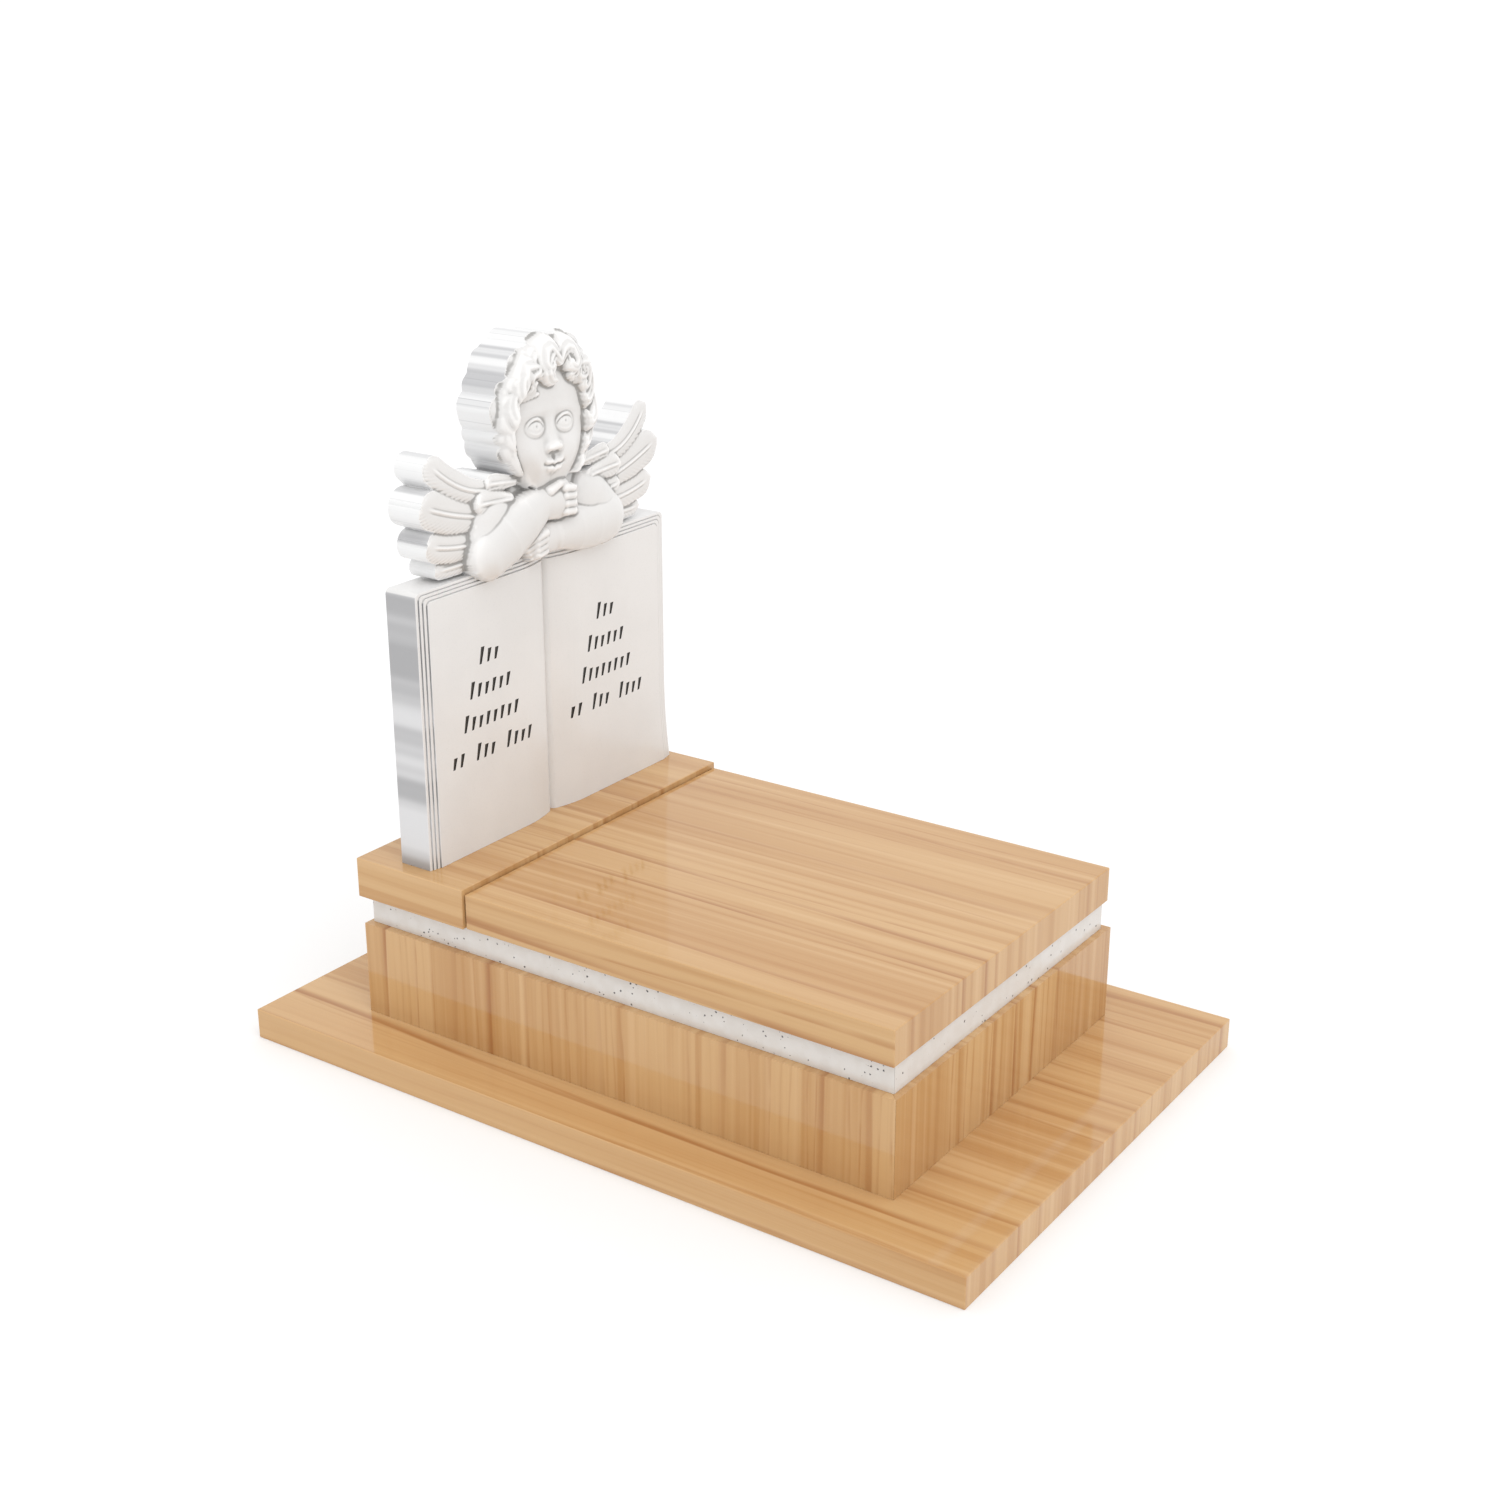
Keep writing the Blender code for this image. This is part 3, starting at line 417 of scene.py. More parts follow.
class Relief:
    """The depths over the grid, and each place's distance from the outline, less than zero inside."""

    def __init__(self, x, z):
        self.x, self.z = x, z
        self.depth = np.zeros(x.shape)
        self.outline = np.full(x.shape, 1e3)

    def near(self, line, reach):
        low, high = line.min(0) - reach, line.max(0) + reach
        return (self.x > low[0]) & (self.x < high[0]) & (self.z > low[1]) & (self.z < high[1])

    def lay(self, where, form, outline):
        """The form is laid on what is there, and the deeper of the two stands."""
        deeper = np.maximum(self.depth[where], form)
        self.depth[where] = np.where(outline < 0, deeper, self.depth[where])
        self.outline[where] = np.minimum(self.outline[where], outline)

    def limb(self, line, radii, middles, flatness):
        """A rounded limb: half its width and the depth of its middle, at each point of its line."""
        line = np.array(line, float)
        where = self.near(line, max(radii) + 4)
        along, side = follow(line, self.x[where], self.z[where])
        knots = np.concatenate([[0], np.cumsum(np.hypot(*np.diff(line, axis=0).T))])
        radius = np.interp(along, knots / knots[-1], radii)
        middle = np.interp(along, knots / knots[-1], middles)
        rise = flatness * np.sqrt(np.clip(radius ** 2 - side ** 2, 0, None))
        self.lay(where, middle + rise, np.abs(side) - radius)

    def feather(self, line, width, depth, lean, hand):
        """A rounded blade with a shaft along it, and barbs cut in its lower half."""
        where = self.near(line, width + 3)
        along, side = follow(line, self.x[where], self.z[where])
        length = np.hypot(*np.diff(line, axis=0).T).sum()
        end = np.clip((along - 1) * length / width + 1, 0, 1)
        half = width * np.sqrt(1 - end ** 2) * (0.55 + 0.45 * np.clip(along / 0.6, 0, 1))
        across = np.clip(side / np.maximum(half, 0.05), -1, 1)
        form = depth - lean * along ** 2 + 1.9 * np.sqrt(1 - 0.95 * across ** 2)
        shaft = np.clip((0.93 - along) / 0.1, 0, 1)
        form += 0.55 * np.exp(-(side / 0.5) ** 2) * shaft
        form -= 0.25 * np.exp(-((np.abs(side) - 1.2) / 0.5) ** 2) * shaft
        lower = np.clip(-0.2 - across * hand, 0, 1)
        barbs = np.abs(np.mod((along * length - 1.3 * np.abs(side)) / 2.6, 1) - 0.5) * 2
        form -= 0.55 * lower * barbs ** 3 + 0.12 * barbs ** 2 * np.clip(np.abs(across) * 1.6 - 0.35, 0, 1)
        self.lay(where, form, np.abs(side) - half)

    def lock(self, line, width, lift, rise):
        """A lock of hair that tapers to the end of its line, laid on the head."""
        where = self.near(line, width + 2)
        x, z = self.x[where], self.z[where]
        along, side = follow(line, x, z)
        half = width * (0.55 + 0.45 * np.clip(along / 0.3, 0, 1))
        half = half * np.sqrt(np.clip(1 - np.clip((along - 0.55) / 0.45, 0, 1) ** 2, 0, 1))
        across = np.clip(side / np.maximum(half, 0.05), -1, 1)
        bed, fullness, hidden = hair_bed(x, z)
        form = lift * np.clip(0.3 + 1.6 * along, 0, 1) + rise * np.sqrt(1 - 0.9 * across ** 2)
        form += 0.6 * np.cos(3 * math.pi * across) * np.clip(1 - np.abs(across), 0, 0.5)
        self.lay(where, bed + form * fullness, np.where(hidden, 50, np.abs(side) - half))


def head_frame(x, z):
    """Places on the head's disc, how far it faces forward there, and places on the turned face."""
    dx, dz = x - HEAD_CENTRE[0], z - HEAD_CENTRE[1]
    p = (dx * math.cos(HEAD_TILT) - dz * math.sin(HEAD_TILT)) / HEAD_HALF[0]
    v = (dx * math.sin(HEAD_TILT) + dz * math.cos(HEAD_TILT)) / HEAD_HALF[1]
    p = p * (1 + 0.256 * np.clip(-v - 0.15, 0, 1) ** 1.5)
    front = np.sqrt(np.clip(1.21 - p ** 2 - v ** 2, 0, None)) / 1.1
    across = p * math.cos(HEAD_TURN) + front * math.sin(HEAD_TURN)
    toward = front * math.cos(HEAD_TURN) - p * math.sin(HEAD_TURN)
    up = v * math.cos(HEAD_NOD) - toward * math.sin(HEAD_NOD)
    return p, v, front, across * HEAD_HALF[0], up * HEAD_HALF[1]


def face_oval(across, up):
    return np.hypot(across / FACE_HALF[0], (up + FACE_DROP) / FACE_HALF[1])


def hair_bed(x, z):
    """The depth the hair lies on, sunk behind the cheeks, its fullness, and where the face hides it."""
    p, v, front, across, up = head_frame(x, z)
    past = face_oval(across, up) - 1
    low = np.clip((0.60 - v) / 0.35, 0, 1)
    bed = FACE_DEPTH + FACE_RISE * front ** 0.9 - HAIR_SINK * low * np.clip(past / 0.09, 0, 1)
    return bed, 1 - low * (1 - np.clip((past - 0.02) / 0.10, 0, 1)), past < 1.2 * (low - 1)


def head_place(fall, out, hand):
    """A place on the head's disc: an angle down from the crown and a share of the way to its rim."""
    dx = hand * out * math.sin(math.radians(fall)) * HEAD_HALF[0]
    dz = out * math.cos(math.radians(fall)) * HEAD_HALF[1]
    return (HEAD_CENTRE[0] + dx * math.cos(HEAD_TILT) + dz * math.sin(HEAD_TILT),
            HEAD_CENTRE[1] - dx * math.sin(HEAD_TILT) + dz * math.cos(HEAD_TILT))


def face_place(fall, out, hand):
    """A place round the face: an angle down from the brow and a multiple of the face's oval."""
    across = hand * out * FACE_HALF[0] / HEAD_HALF[0] * math.sin(math.radians(fall))
    up = (-FACE_DROP + out * FACE_HALF[1] * math.cos(math.radians(fall))) / HEAD_HALF[1]
    toward = math.sqrt(max(0.0, 1 - across ** 2 - up ** 2))
    p = across * math.cos(HEAD_TURN) - toward * math.sin(HEAD_TURN)
    reach = min(math.hypot(p, up), 0.90)
    return head_place(math.degrees(math.atan2(hand * p, up)), reach, hand)


def face_form(x, z):
    """Brow, sockets, cheeks, nose, lips and chin, as depths added to the plain head."""
    m = np.abs(x)
    # brow and sockets
    form = 1.2 * mound(x, z, (0, 9), (16, 9))
    form += 0.7 * mound(m, z, (9.5, 1.4), (7.5, 2.6), -8)
    form -= 1.3 * mound(m, z, (9.6, -4.4), (7.0, 5.2), -4)
    form -= 0.6 * mound(m, z, (4.6, -4.0), (2.2, 3.4))
    # cheeks
    form += 2.9 * mound(m, z, (12.6, -16.0), (8.5, 8.0))
    form += 1.5 * mound(m, z, (9, -24), (7.5, 6.5))
    # nose, from its bridge to its tip and wings
    down = np.clip((1.0 - z) / 14.5, 0, 1)
    bridge = (0.5 + 2.3 * down ** 2.0) * np.exp(-(x / (2.8 + 1.2 * down)) ** 2)
    form += bridge * np.clip((z + 17.0) / 2.2, 0, 1) * np.clip((4.0 - z) / 6, 0, 1)
    form += 2.1 * mound(x, z, (0, -13.6), (3.4, 2.9))
    form += 1.5 * mound(m, z, (3.6, -14.6), (1.9, 1.8))
    form -= 1.0 * mound(m, z, (1.9, -16.6), (1.2, 0.8))
    # lips, closed
    form += 1.5 * mound(x, z, (0, -22.0), (8.0, 5.4))
    form -= 0.7 * mound(x, z, (0, -19.0), (1.2, 1.7))
    line = -22.6 + 0.022 * m ** 2 + 0.4 * np.exp(-((m - 1.8) / 1.4) ** 2) - 0.3 * np.exp(-m ** 2)
    upper_lip = np.exp(-((z - line - 1.4) / 1.25) ** 2) * np.clip(1 - (m / 6.4) ** 2, 0, 1) ** 0.7
    lower_lip = np.exp(-((z - line + 1.8) / 1.55) ** 2) * np.clip(1 - (m / 5.4) ** 2, 0, 1) ** 0.7
    parting = np.exp(-((z - line) / 0.5) ** 2) * np.clip(1 - (m / 6.8) ** 2, 0, 1) ** 0.5
    form += 1.6 * upper_lip + 2.0 * lower_lip - 1.4 * parting
    form -= 0.6 * mound(m, z, (7.0, -21.4), (1.3, 1.3))
    return form + eye_form(m, z)


def eye_form(m, z):
    """The eyeball under its two lids, with the rim of the iris and the pupil cut in."""
    mid_x, mid_z = 9.7, -5.0
    out = (m - mid_x) / 5.2
    ball = np.clip(1 - ((m - mid_x) / 6.4) ** 2 - ((z - mid_z) / 4.6) ** 2, 0, None)
    arch = np.clip(1 - out ** 2, 0, 1)
    upper = mid_z + 2.9 * arch ** 0.8 + 0.2 * out
    lower = mid_z - 1.9 * arch + 0.2 * out
    inside = arch ** 0.35
    lids = 0.8 * np.exp(-((z - upper - 0.8) / 0.8) ** 2) + 0.15 * np.exp(-((z - lower + 0.8) / 0.8) ** 2)
    cuts = 1.0 * np.exp(-((z - upper) / 0.45) ** 2) + 0.25 * np.exp(-((z - lower) / 0.4) ** 2)
    crease = np.exp(-((z - upper - 2.3) / 0.6) ** 2) * np.clip(1 - (out / 1.1) ** 2, 0, 1)
    round_pupil = np.hypot(m - mid_x + 0.1, z - mid_z - 0.6)
    opening = (z < upper) & (z > lower)
    iris = 0.14 * np.exp(-((round_pupil - 2.1) / 0.4) ** 2) + 0.6 * np.exp(-(round_pupil / 0.9) ** 2)
    form = 2.1 * ball ** 1.1 + lids * np.clip(1.1 - out ** 2, 0, 1) ** 0.6 - cuts * inside - 0.4 * crease
    return np.where(ball > 0, form - iris * opening, 0)


def carve_wings(relief):
    """Four long feathers a side, each over the one below it, and short ones over their roots."""
    # three points of the line, half width, depth, and how far the tip leans back
    fan = [((34, 9), (54, 4.5), (71.8, 6), 4.3, 14.6, 1.4),
           ((34, 15), (56, 11.5), (78.2, 18.8), 6.9, 16.0, 0.4),
           ((34, 24), (58, 26), (81.9, 37), 8.6, 17.2, 0.4),
           ((32, 37), (56, 33), (75.6, 54.8), 6.5, 18.4, 3.4)]
    coverts = [((30, 12), (38, 12), (47, 13.5), 4.4, 17.6, 0),
               ((30, 20), (40, 20.5), (51, 22.0), 4.4, 18.8, 0),
               ((28, 30), (38, 31), (50.5, 31.5), 5.4, 20.0, 0),
               ((24, 37), (32, 38), (43, 39), 4.4, 19.0, 0)]
    for hand in (-1, 1):
        for *points, width, depth, lean in fan + coverts:
            line = bend(*[(hand * x, z) for x, z in points], 12)
            relief.feather(line, width, depth, lean, hand)


def carve_head(relief):
    """The head with its face, and a cap of combed hair round it for the locks to lie on."""
    p, v, front, across, up = head_frame(relief.x, relief.z)
    radius = np.hypot(p, v)
    everywhere = np.s_[:, :]
    bed = hair_bed(relief.x, relief.z)[0]
    form = bed + 0.9 * face_form(across, up) * np.clip(front * 3.0, 0, 1)
    relief.lay(everywhere, form, (radius - 1) * HEAD_HALF[0])
    oval = face_oval(across, up)
    edge = np.clip((oval - 1) / 0.10, 0, 1)
    combed = np.sin(16 * np.arctan2(p, v + 0.1) + 2.2 * np.sin(6 * radius))
    cap = (1.6 * np.sqrt(edge) + 0.45 * combed * edge) * np.clip((v + 0.92) / 0.3, 0, 1)
    outline = np.where((oval > 1) & (v > -0.92), (radius - 1.06) * HEAD_HALF[0], 50)
    relief.lay(everywhere, bed + cap, outline)


def wave(start, sweep, outs, hand, turn, place=head_place):
    """A lock's line: it falls round the head, swaying in and out, and ends in a small curl."""
    share = np.linspace(0, 1, 9)
    out = np.interp(share, np.linspace(0, 1, len(outs)), outs)
    fall = [place(start + sweep * s, o, hand) for s, o in zip(share, out)]
    heading = math.degrees(math.atan2(fall[-1][1] - fall[-2][1], fall[-1][0] - fall[-2][0]))
    tail = curl(fall[-1], heading, 8.0, -hand * turn * 0.6, -hand * turn * 1.7, 9)
    return np.vstack([fall[:-1], tail])


def carve_hair(relief):
    """Long locks fall from the crown down each side, with shorter ones round the face and over the brow."""
    # angle down from the crown, sweep, half width, lift and closing turn of each lock down the sides
    falls = ((0, 25, 5.6, 1.9, 200), (19, 22, 4.1, 0.4, -160), (31, 30, 6.0, 1.6, 210),
             (55, 24, 4.6, 0.2, -190), (68, 29, 6.1, 2.0, 220), (92, 21, 4.2, 0.5, -160),
             (104, 23, 5.0, 1.4, 200))
    for hand in (-1, 1):
        for i, (fall, sweep, width, lift, turn) in reversed(list(enumerate(falls))):
            sway = 0.03 * math.sin(2.3 * i + hand)
            low = max(0.0, i - 4) * 0.03
            crown = 0.06 * max(0.0, 1 - fall / 50)
            outs = (0.80 - crown, 0.92 + sway - crown, 1.0 - low - crown, 0.94 - low, 0.84)
            relief.lock(wave(fall + 3 * hand, sweep, outs, hand, turn), width, lift, 4.6)
        # shorter locks round the face
        for i in range(2, -1, -1):
            outs = (1.38, 1.30, 1.17, 1.20 + 0.05 * (i % 2))
            line = wave(14 + 17 * i, 17, outs, hand, -170 if i % 2 else 200, face_place)
            relief.lock(line, 3.6 + 0.4 * math.sin(2.1 * i), 1.8 + 0.8 * math.sin(3.1 * i), 3.8)
        # full curls beside the face, each turning in on itself
        for i in range(4):
            fall = 46 + 24 * i + 5 * hand
            heading = -fall if hand > 0 else 180 + fall
            line = curl(head_place(fall, 0.96, hand), heading, 27, -40 * hand, -380 * hand)
            relief.lock(line, 4.1, 2.6 + 1.3 * (i % 2), 4.6)
    brow_x, brow_z = face_place(0, 1.25, 1)
    # place beside the brow, heading, length, first and last turn, width, lift, rise
    forelocks = [((15, -2), 5, 15, -60, -300, 3.8, 1.4, 3.0), ((12, 3), 15, 17, -50, -120, 4.2, 0.8, 3.0),
                 ((-9, 3), 190, 15, 40, 160, 4.0, 1.0, 3.0), ((6, 2), 350, 19, -30, -330, 4.2, 2.2, 3.2),
                 ((-3, 3), 195, 17, 30, 330, 3.8, 1.9, 3.0), ((7, 2), 165, 26, 60, 345, 4.3, 2.9, 3.4),
                 ((2, 5), 150, 14, 20, 200, 3.8, 1.2, 2.8), ((6, 4), 40, 14, -40, -240, 3.8, 1.2, 2.8)]
    for (dx, dz), heading, length, first, last, width, lift, rise in forelocks:
        line = curl((brow_x + dx, brow_z + dz), heading, length, first, last)
        relief.lock(line, width, lift, rise)


def carve_body(relief):
    """Shoulders, chest and neck, behind the arms."""
    relief.limb([(-34, 20), (26, 18)], [15, 14], [14.5, 14.5], 0.35)
    relief.limb([(-34, 8), (34, 8)], [10, 10], [15, 15], 0.20)
    relief.limb([(-2, 24), (-2, 38)], [13, 10], [16, 16], 0.40)


def carve_arms(relief):
    """Both arms lean on the book, one hand lying on it and one rising to the chin."""
    # upper arms, the far forearm along the book and its hand
    relief.limb([(-38, 20.5), (-41.5, 10)], [14.3, 12.4], [16.5, 18.5], 0.55)
    relief.limb([(28, 18.2), (37.5, 9)], [14.2, 12.6], [17.0, 18.8], 0.58)
    line = [(38.3, 8.2), (28, 7.9), (16, 8.0), (4, 7.4)]
    relief.limb(line, [12.4, 12.4, 11.2, 7.8], [19.2, 19.6, 19.6, 19.8], 0.66)
    relief.limb([(3, 7.4), (-6, 6.8)], [7.4, 7.0], [19.8, 19.8], 0.60)
    for i in range(4):
        line = [(-7, 10.6 - 2.9 * i), (-13.5, 9.0 - 2.7 * i), (-19.0 + 1.4 * i, 6.2 - 2.1 * i)]
        relief.limb(line, [2.2, 2.1, 1.7], [22.4 - 0.3 * i, 22.2, 20.2], 1.0)
    # the near forearm rising to the fist under the chin
    line = [(-42.5, 8.6), (-32, 13.6), (-19, 19.6), (-8, 24.2)]
    relief.limb(line, [12.4, 13.0, 11.2, 8.4], [19.4, 20.4, 21.0, 21.2], 0.64)
    relief.limb([(-7, 24.2), (2.5, 23.0)], [8.3, 8.4], [21.4, 21.6], 0.66)
    for i in range(4):
        line = [(3.6, 29.4 - 3.6 * i), (9.8, 28.4 - 3.5 * i), (13.3, 25.6 - 3.1 * i)]
        relief.limb(line, [2.3, 2.25, 1.8], [25.6, 25.4, 23.0], 1.0)
    relief.limb([(-6, 29.8), (0, 31.8), (5, 31.4)], [2.5, 2.3, 1.9], [24.8, 24.8, 24.2], 1.0)


def blur(values, reach):
    """The values averaged over their neighbours with a bell-shaped weight."""
    size = int(math.ceil(3 * reach))
    bell = np.exp(-0.5 * (np.arange(-size, size + 1) / reach) ** 2)
    bell /= bell.sum()
    for _ in range(2):
        padded = np.pad(values, ((size, size), (0, 0)))
        values = sum(weight * padded[i:i + values.shape[0]] for i, weight in enumerate(bell)).T
    return values


def kept_cells(outline):
    """The grid's cells inside the outline, no two of which touch by a corner only."""
    kept = outline[:-1, :-1] + outline[1:, 1:] + outline[1:, :-1] + outline[:-1, 1:] < 0
    low_left, high_right, low_right, high_left = kept[:-1, :-1], kept[1:, 1:], kept[1:, :-1], kept[:-1, 1:]
    crossed = ((low_left & high_right & ~low_right & ~high_left)
               | (~low_left & ~high_right & low_right & high_left))
    for i, j in np.argwhere(crossed):
        kept[i:i + 2, j:j + 2] = True
    return kept


def make_figure(name):
    """A grid trimmed to the outline and set to the relief's depths, then drawn straight back."""
    columns, rows = round(GRID_WIDTH / CELL), round(GRID_HEIGHT / CELL)
    x, z = np.meshgrid(GRID_LEFT + CELL * np.arange(columns + 1), GRID_FOOT + CELL * np.arange(rows + 1),
                       indexing="ij")
    relief = Relief(x, z)
    for carve in (carve_body, carve_wings, carve_head, carve_hair, carve_arms):
        carve(relief)
    outline = relief.outline
    covered = (outline < 0).astype(float)
    reach = SOFTENING / CELL
    depth = blur(relief.depth * covered, reach) / np.maximum(blur(covered, reach), 1e-6)
    slope_x, slope_z = np.gradient(outline.clip(-4, 4), CELL)
    slope = slope_x ** 2 + slope_z ** 2 + 1e-6
    pull = np.clip(outline / slope, -OUTLINE_PULL * CELL, OUTLINE_PULL * CELL)
    kept = kept_cells(outline)

    def cell(place):
        return (place.x + 0.5) * columns, (place.y + 0.5) * rows

    def outside(face):
        i, j = cell(face.calc_center_median())
        return not kept[int(i), int(j)]

    bm = bmesh.new()
    bmesh.ops.create_grid(bm, x_segments=columns, y_segments=rows, size=0.5)
    bmesh.ops.delete(bm, geom=[face for face in bm.faces if outside(face)], context="FACES")
    for vert in bm.verts:
        i, j = (round(value) for value in cell(vert.co))
        move = pull[i, j] if vert.is_boundary else 0.0
        vert.co = ((x[i, j] - move * slope_x[i, j]) * SHARE, BACK_Y - depth[i, j] * SHARE,
                   BOOK_TOP_Z + (z[i, j] - move * slope_z[i, j]) * SHARE)
    drawn = bmesh.ops.extrude_face_region(bm, geom=list(bm.faces))["geom"]
    for vert in drawn:
        if isinstance(vert, bmesh.types.BMVert):
            vert.co.y = BACK_Y
    bmesh.ops.dissolve_faces(bm, faces=[part for part in drawn if isinstance(part, bmesh.types.BMFace)])
    bmesh.ops.recalc_face_normals(bm, faces=bm.faces)
    return finish_mesh(name, bm)


headstone = make_book("open_book_headstone")
figure = make_figure("figure_form")


def cut(target, cutter, operation):
    """Joins the cutter to the target, or takes it away, and keeps the result as plain mesh."""
    change = target.modifiers.new("cut", "BOOLEAN")
    change.operation = operation
    change.solver = "MANIFOLD"
    change.material_mode = "TRANSFER"
    change.object = cutter
    shown = target.evaluated_get(bpy.context.evaluated_depsgraph_get())
    mesh = bpy.data.meshes.new_from_object(shown)
    target.modifiers.clear()
    target.data = mesh
    bpy.data.objects.remove(cutter)


MARBLE_POLISH = 0.24
MARBLE_TONES = ((0.76, 0.75, 0.74, 1), (0.72, 0.71, 0.70, 1))
MARBLE_FLECK = (0.58, 0.57, 0.56, 1)
# painted light on the relief's crests and painted shade in its hollows
PAINTED_CREST_LIGHT = (0.90, 0.89, 0.88, 1)
PAINTED_HOLLOW_SHADE = (0.27, 0.262, 0.25, 1)
# painted reflection bands and painted shade on the book's sawn sides
SIDE_REFLECTION_TONES = ((0.66, 0.66, 0.67, 1), (0.34, 0.34, 0.35, 1))
# painted shade on the figure's walls: soft grey patches and thin dark streaks
WALL_SHADE_TONES = ((0.83, 0.83, 0.83, 1), (0.50, 0.50, 0.51, 1))
STREAK_SHADE = (0.36, 0.36, 0.37, 1)
# heights above and below the book's top edge, where its sawn sides end and the figure's walls begin
ABOVE_BOOK, BELOW_TOP = 0.9345, 0.9335


def white_marble(name):
    """White marble, with painted shade in its hollows and painted light on its crests, faint painted
    reflection bands and painted shade on the book's sawn sides, and painted shade on the figure's walls.
    """
    material, tree, shader = make_material(name, MARBLE_POLISH)
    place = object_place(tree)
    axes = axes_of(tree, place)
    colour = blend_colours(tree, fade(tree, cloud(tree, place, 3.4, 4.0, 0.55), 0.35, 0.65), *MARBLE_TONES)
    fleck = reckon(tree, "MULTIPLY", fade(tree, cloud(tree, place, 300.0, 2.0), 0.55, 0.75), 0.15)
    colour = blend_colours(tree, fleck, colour, MARBLE_FLECK)
    hollow = add_node(tree, "ShaderNodeAttribute", {}, attribute_name="hollow").outputs["Fac"]
    # painted light on the crests and painted shade in the hollows, set by the stored hollow measure
    colour = blend_colours(tree, fade(tree, hollow, -0.1, -1.0, 0.0, 0.7), colour, PAINTED_CREST_LIGHT)
    colour = blend_colours(tree, fade(tree, hollow, 0.05, 1.0, 0.0, 0.80), colour, PAINTED_HOLLOW_SHADE)
    # painted reflection and painted shade: level light and grey bands on the book's sawn sides
    sawn = reckon(tree, "MULTIPLY", fade(tree, facing(tree, "X"), 0.85, 0.97),
                  fade(tree, axes["Z"], ABOVE_BOOK, BELOW_TOP))
    reflection_band = fade(tree, cloud(tree, spot(tree, 0.3, 0.7, axes["Z"]), 11.0, 2.0, 0.6), 0.38, 0.62)
    side_reflection = blend_colours(tree, reflection_band, *SIDE_REFLECTION_TONES)
    colour = blend_colours(tree, reckon(tree, "MULTIPLY", sawn, 0.9), colour, side_reflection)
    # the walls drawn back behind the figure, pale with painted shade: soft grey patches and thin dark streaks
    wall = reckon(tree, "MULTIPLY", fade(tree, facing(tree, "Y"), 0.10, 0.03),
                  fade(tree, axes["Z"], BELOW_TOP, ABOVE_BOOK))
    ring = spot(tree, reckon(tree, "MULTIPLY_ADD", axes["X"], 0.6, axes["Z"]), 0.2, 0.4)
    shade = fade(tree, cloud(tree, ring, 26.0, 2.0, 0.5), 0.47, 0.66)
    streak_shade = fade(tree, cloud(tree, ring, 170.0, 2.0, 0.6), 0.58, 0.68, 0.0, 0.7)
    wall_shading = blend_colours(tree, streak_shade, blend_colours(tree, shade, *WALL_SHADE_TONES), STREAK_SHADE)
    colour = blend_colours(tree, wall, colour, wall_shading)
    tree.links.new(colour, shader.inputs["Base Color"])
    roughen(tree, shader, cloud(tree, place, 420.0, 2.0))
    return material


# steps out over the mesh, depth in metres that counts in full, and share
HOLLOW_SIZES = ((2, 0.0005, 0.6), (17, 0.0028, 0.8))
SHORT_EDGE = 0.012
BOOK_MARGIN = 0.001


def mark_hollows(mesh):
    """Stores how far each point lies below (up to 1) or above (down to -1) the surface round it, for painted
    shade in hollows and painted light on crests.
    """
    count = len(mesh.vertices)
    places, normals = np.empty(count * 3), np.empty(count * 3)
    mesh.vertices.foreach_get("co", places)
    mesh.vertices.foreach_get("normal", normals)
    places, normals = places.reshape(-1, 3), normals.reshape(-1, 3)
    ends = np.empty(len(mesh.edges) * 2, int)
    mesh.edges.foreach_get("vertices", ends)
    first, second = ends.reshape(-1, 2).T
    short = np.linalg.norm(places[first] - places[second], axis=1) < SHORT_EDGE
    first, second = first[short], second[short]
    joined = np.bincount(first, minlength=count) + np.bincount(second, minlength=count)
    mean, hollow = places.copy(), np.zeros(count)
    for steps, depth, share in HOLLOW_SIZES:
        for _ in range(steps):
            total = np.stack([np.bincount(first, mean[second, axis], count)
                              + np.bincount(second, mean[first, axis], count) for axis in range(3)], axis=1)
            mean = np.where(joined[:, None] > 2, total / np.maximum(joined, 1)[:, None], places)
        below = ((mean - places) * normals).sum(axis=1)
        hollow += share * np.clip(below / depth, -1, 1)
    # the book's own faces get no painted shade in hollows and no painted light on crests
    hollow[(places[:, 2] < BOOK_TOP_Z + BOOK_MARGIN) & (places[:, 1] > PAGE_Y - BOOK_MARGIN)] = 0.0
    mesh.attributes.new("hollow", "FLOAT", "POINT").data.foreach_set("value", hollow)


marble = white_marble("headstone_marble")
headstone.data.materials.append(marble)
figure.data.materials.append(marble)
cut(headstone, figure, "UNION")


# Inscription
# Rows of slanted strokes on both pages, each sunk 1.5 mm into the marble and painted a
# dull near-black. With them cut, the headstone is one finished block.

PAGE_CENTRES = (-0.187, 0.167)
ROW_HEIGHTS = (0.776, 0.714, 0.652, 0.588)
ROW_GROUPS = ((3,), (6,), (8,), (2, 3, 4))
GROUP_GAP = 1.3
STROKE_PITCH = 0.0205
STROKE_WIDTH = 0.0080
STROKE_HEIGHT = 0.023
FIRST_STROKE_HEIGHT = 0.033
STROKE_UNEVENNESS = 0.12
STROKE_SLANT = 0.25
STROKE_TAPER = 0.25
STROKE_DEPTH = 0.0015
CUT_REACH = 0.01
STROKE_PAINT = ((0.022, 0.020, 0.018, 1), (0.040, 0.037, 0.033, 1))
PAINT_ROUGHNESS = 0.45
SHARP_ANGLE = math.radians(40)
LEVEL_MARGIN = 0.0004


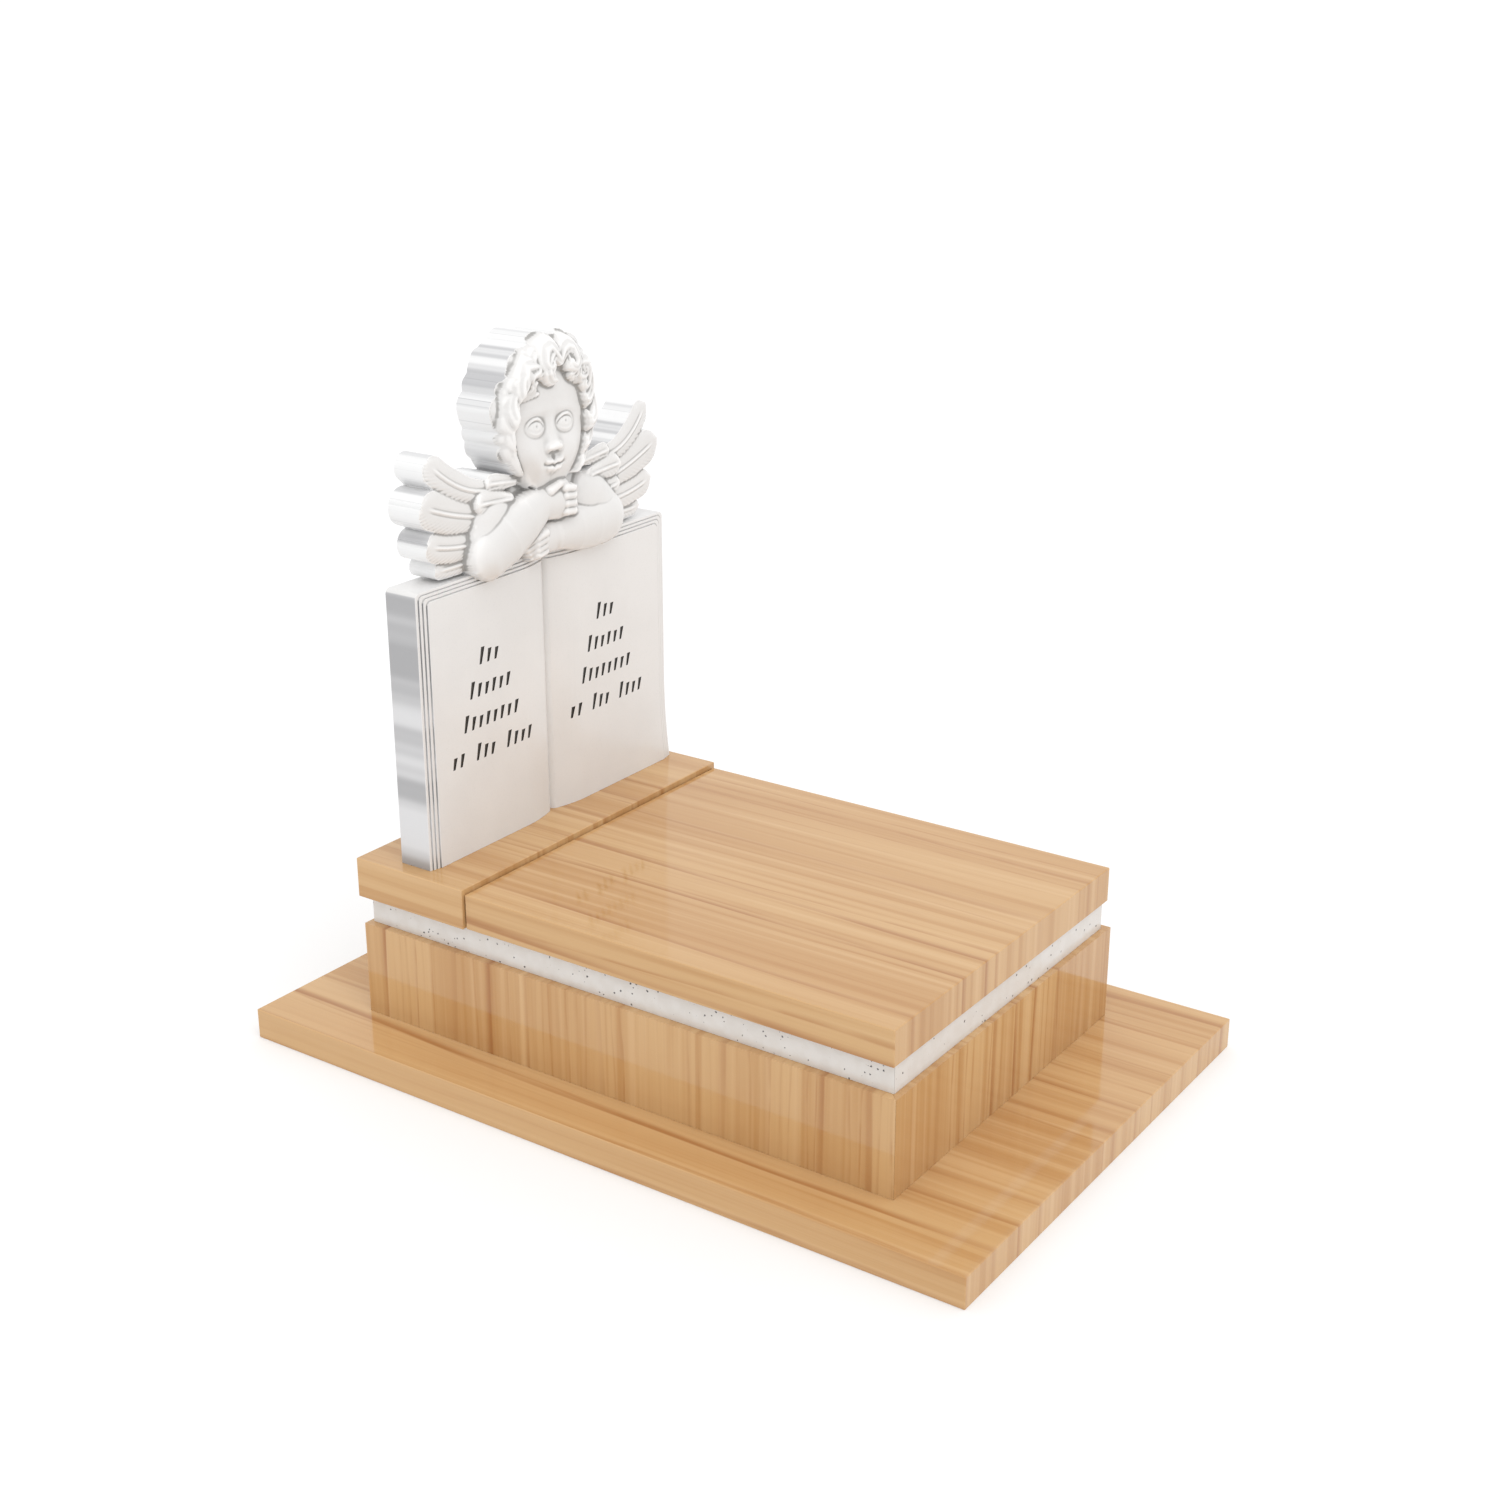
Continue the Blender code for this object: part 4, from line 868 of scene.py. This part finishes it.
def stroke_places():
    """Each stroke's middle and height, row by row on both pages."""
    for page_x in PAGE_CENTRES:
        for row_z, groups in zip(ROW_HEIGHTS, ROW_GROUPS):
            steps = sum(groups) - 1 + GROUP_GAP * (len(groups) - 1)
            x = page_x - steps / 2 * STROKE_PITCH
            for group in groups:
                for i in range(group):
                    height = STROKE_HEIGHT * (1 + STROKE_UNEVENNESS * (i % 2))
                    if i == 0 and group > 2:
                        height = FIRST_STROKE_HEIGHT
                    yield x, row_z - (FIRST_STROKE_HEIGHT - height) / 2, height
                    x += STROKE_PITCH
                x += GROUP_GAP * STROKE_PITCH


bm = bmesh.new()
for x, z, height in stroke_places():
    floor_y = PAGE_Y + gutter(x) + STROKE_DEPTH
    for vert in bmesh.ops.create_cube(bm, size=1.0)["verts"]:
        up = vert.co.z
        swell = 1.0 + STROKE_TAPER * math.copysign(1, up)
        vert.co = (x + vert.co.x * STROKE_WIDTH * swell + up * STROKE_SLANT * height,
                   floor_y if vert.co.y > 0 else PAGE_Y - CUT_REACH, z + up * height)
strokes = finish_mesh("stroke_forms", bm)
paint, tree, shader = make_material("stroke_paint", PAINT_ROUGHNESS)
paint_tone = fade(tree, cloud(tree, object_place(tree), 90.0, 2.0), 0.3, 0.7)
tree.links.new(blend_colours(tree, paint_tone, *STROKE_PAINT), shader.inputs["Base Color"])
strokes.data.materials.append(paint)
cut(headstone, strokes, "DIFFERENCE")

# smooth all over but for the level parts of the pages and the arrises
headstone.data.shade_smooth()
for polygon in headstone.data.polygons:
    if abs(polygon.center.y - PAGE_Y) < LEVEL_MARGIN and polygon.normal.y < -0.9999:
        polygon.use_smooth = False
headstone.data.set_sharp_from_angle(angle=SHARP_ANGLE)
mark_hollows(headstone.data)
weighted = headstone.modifiers.new("even_pages", "WEIGHTED_NORMAL")
weighted.keep_sharp = True
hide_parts("book_headstone")
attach(headstone, "root")


# Setting for the picture
# A pale matt floor under the slab, soft light from all round and a broad lamp high in
# front. The camera stands where the photograph was taken from.

FLOOR_SIZE = 200.0
FLOOR_TONE = (0.62, 0.62, 0.62, 1)
FLOOR_ROUGHNESS = 0.8
FLOOR_GLOW = 0.30
WHITE = (1.0, 1.0, 1.0, 1.0)
LAMP_STRENGTH = 0.9
LAMP_ANGLE = math.radians(50)
LAMP_TURN = (math.radians(28), 0, math.radians(-30))
CAMERA_PLACE = (-3.0715, -2.1415, 2.0312)
CAMERA_TURN = (math.radians(90 - 20.685), 0, -math.radians(55.375))
CAMERA_LENS = 51.16

bm = bmesh.new()
bmesh.ops.create_grid(bm, x_segments=2, y_segments=2, size=FLOOR_SIZE)
floor = finish_mesh("floor", bm)
floor_material, tree, shader = make_material("pale_floor", FLOOR_ROUGHNESS)
shader.inputs["Base Color"].default_value = FLOOR_TONE
shader.inputs["Emission Color"].default_value = WHITE
shader.inputs["Emission Strength"].default_value = FLOOR_GLOW
floor.data.materials.append(floor_material)

scene = bpy.context.scene
world = bpy.data.worlds.new("studio")
world.use_nodes = True
world.node_tree.nodes["Background"].inputs["Color"].default_value = WHITE
world.node_tree.nodes["Background"].inputs["Strength"].default_value = 1.0
scene.world = world
scene.view_settings.view_transform = "Standard"

lamp = bpy.data.objects.new("high_lamp", bpy.data.lights.new("high_lamp", "SUN"))
lamp.data.energy = LAMP_STRENGTH
lamp.data.angle = LAMP_ANGLE
lamp.rotation_euler = LAMP_TURN
scene.collection.objects.link(lamp)

camera = bpy.data.objects.new("camera", bpy.data.cameras.new("camera"))
camera.location = CAMERA_PLACE
camera.rotation_euler = CAMERA_TURN
camera.data.sensor_width = 36.0
camera.data.lens = CAMERA_LENS
camera.data.clip_end = 1000.0
scene.collection.objects.link(camera)
scene.camera = camera
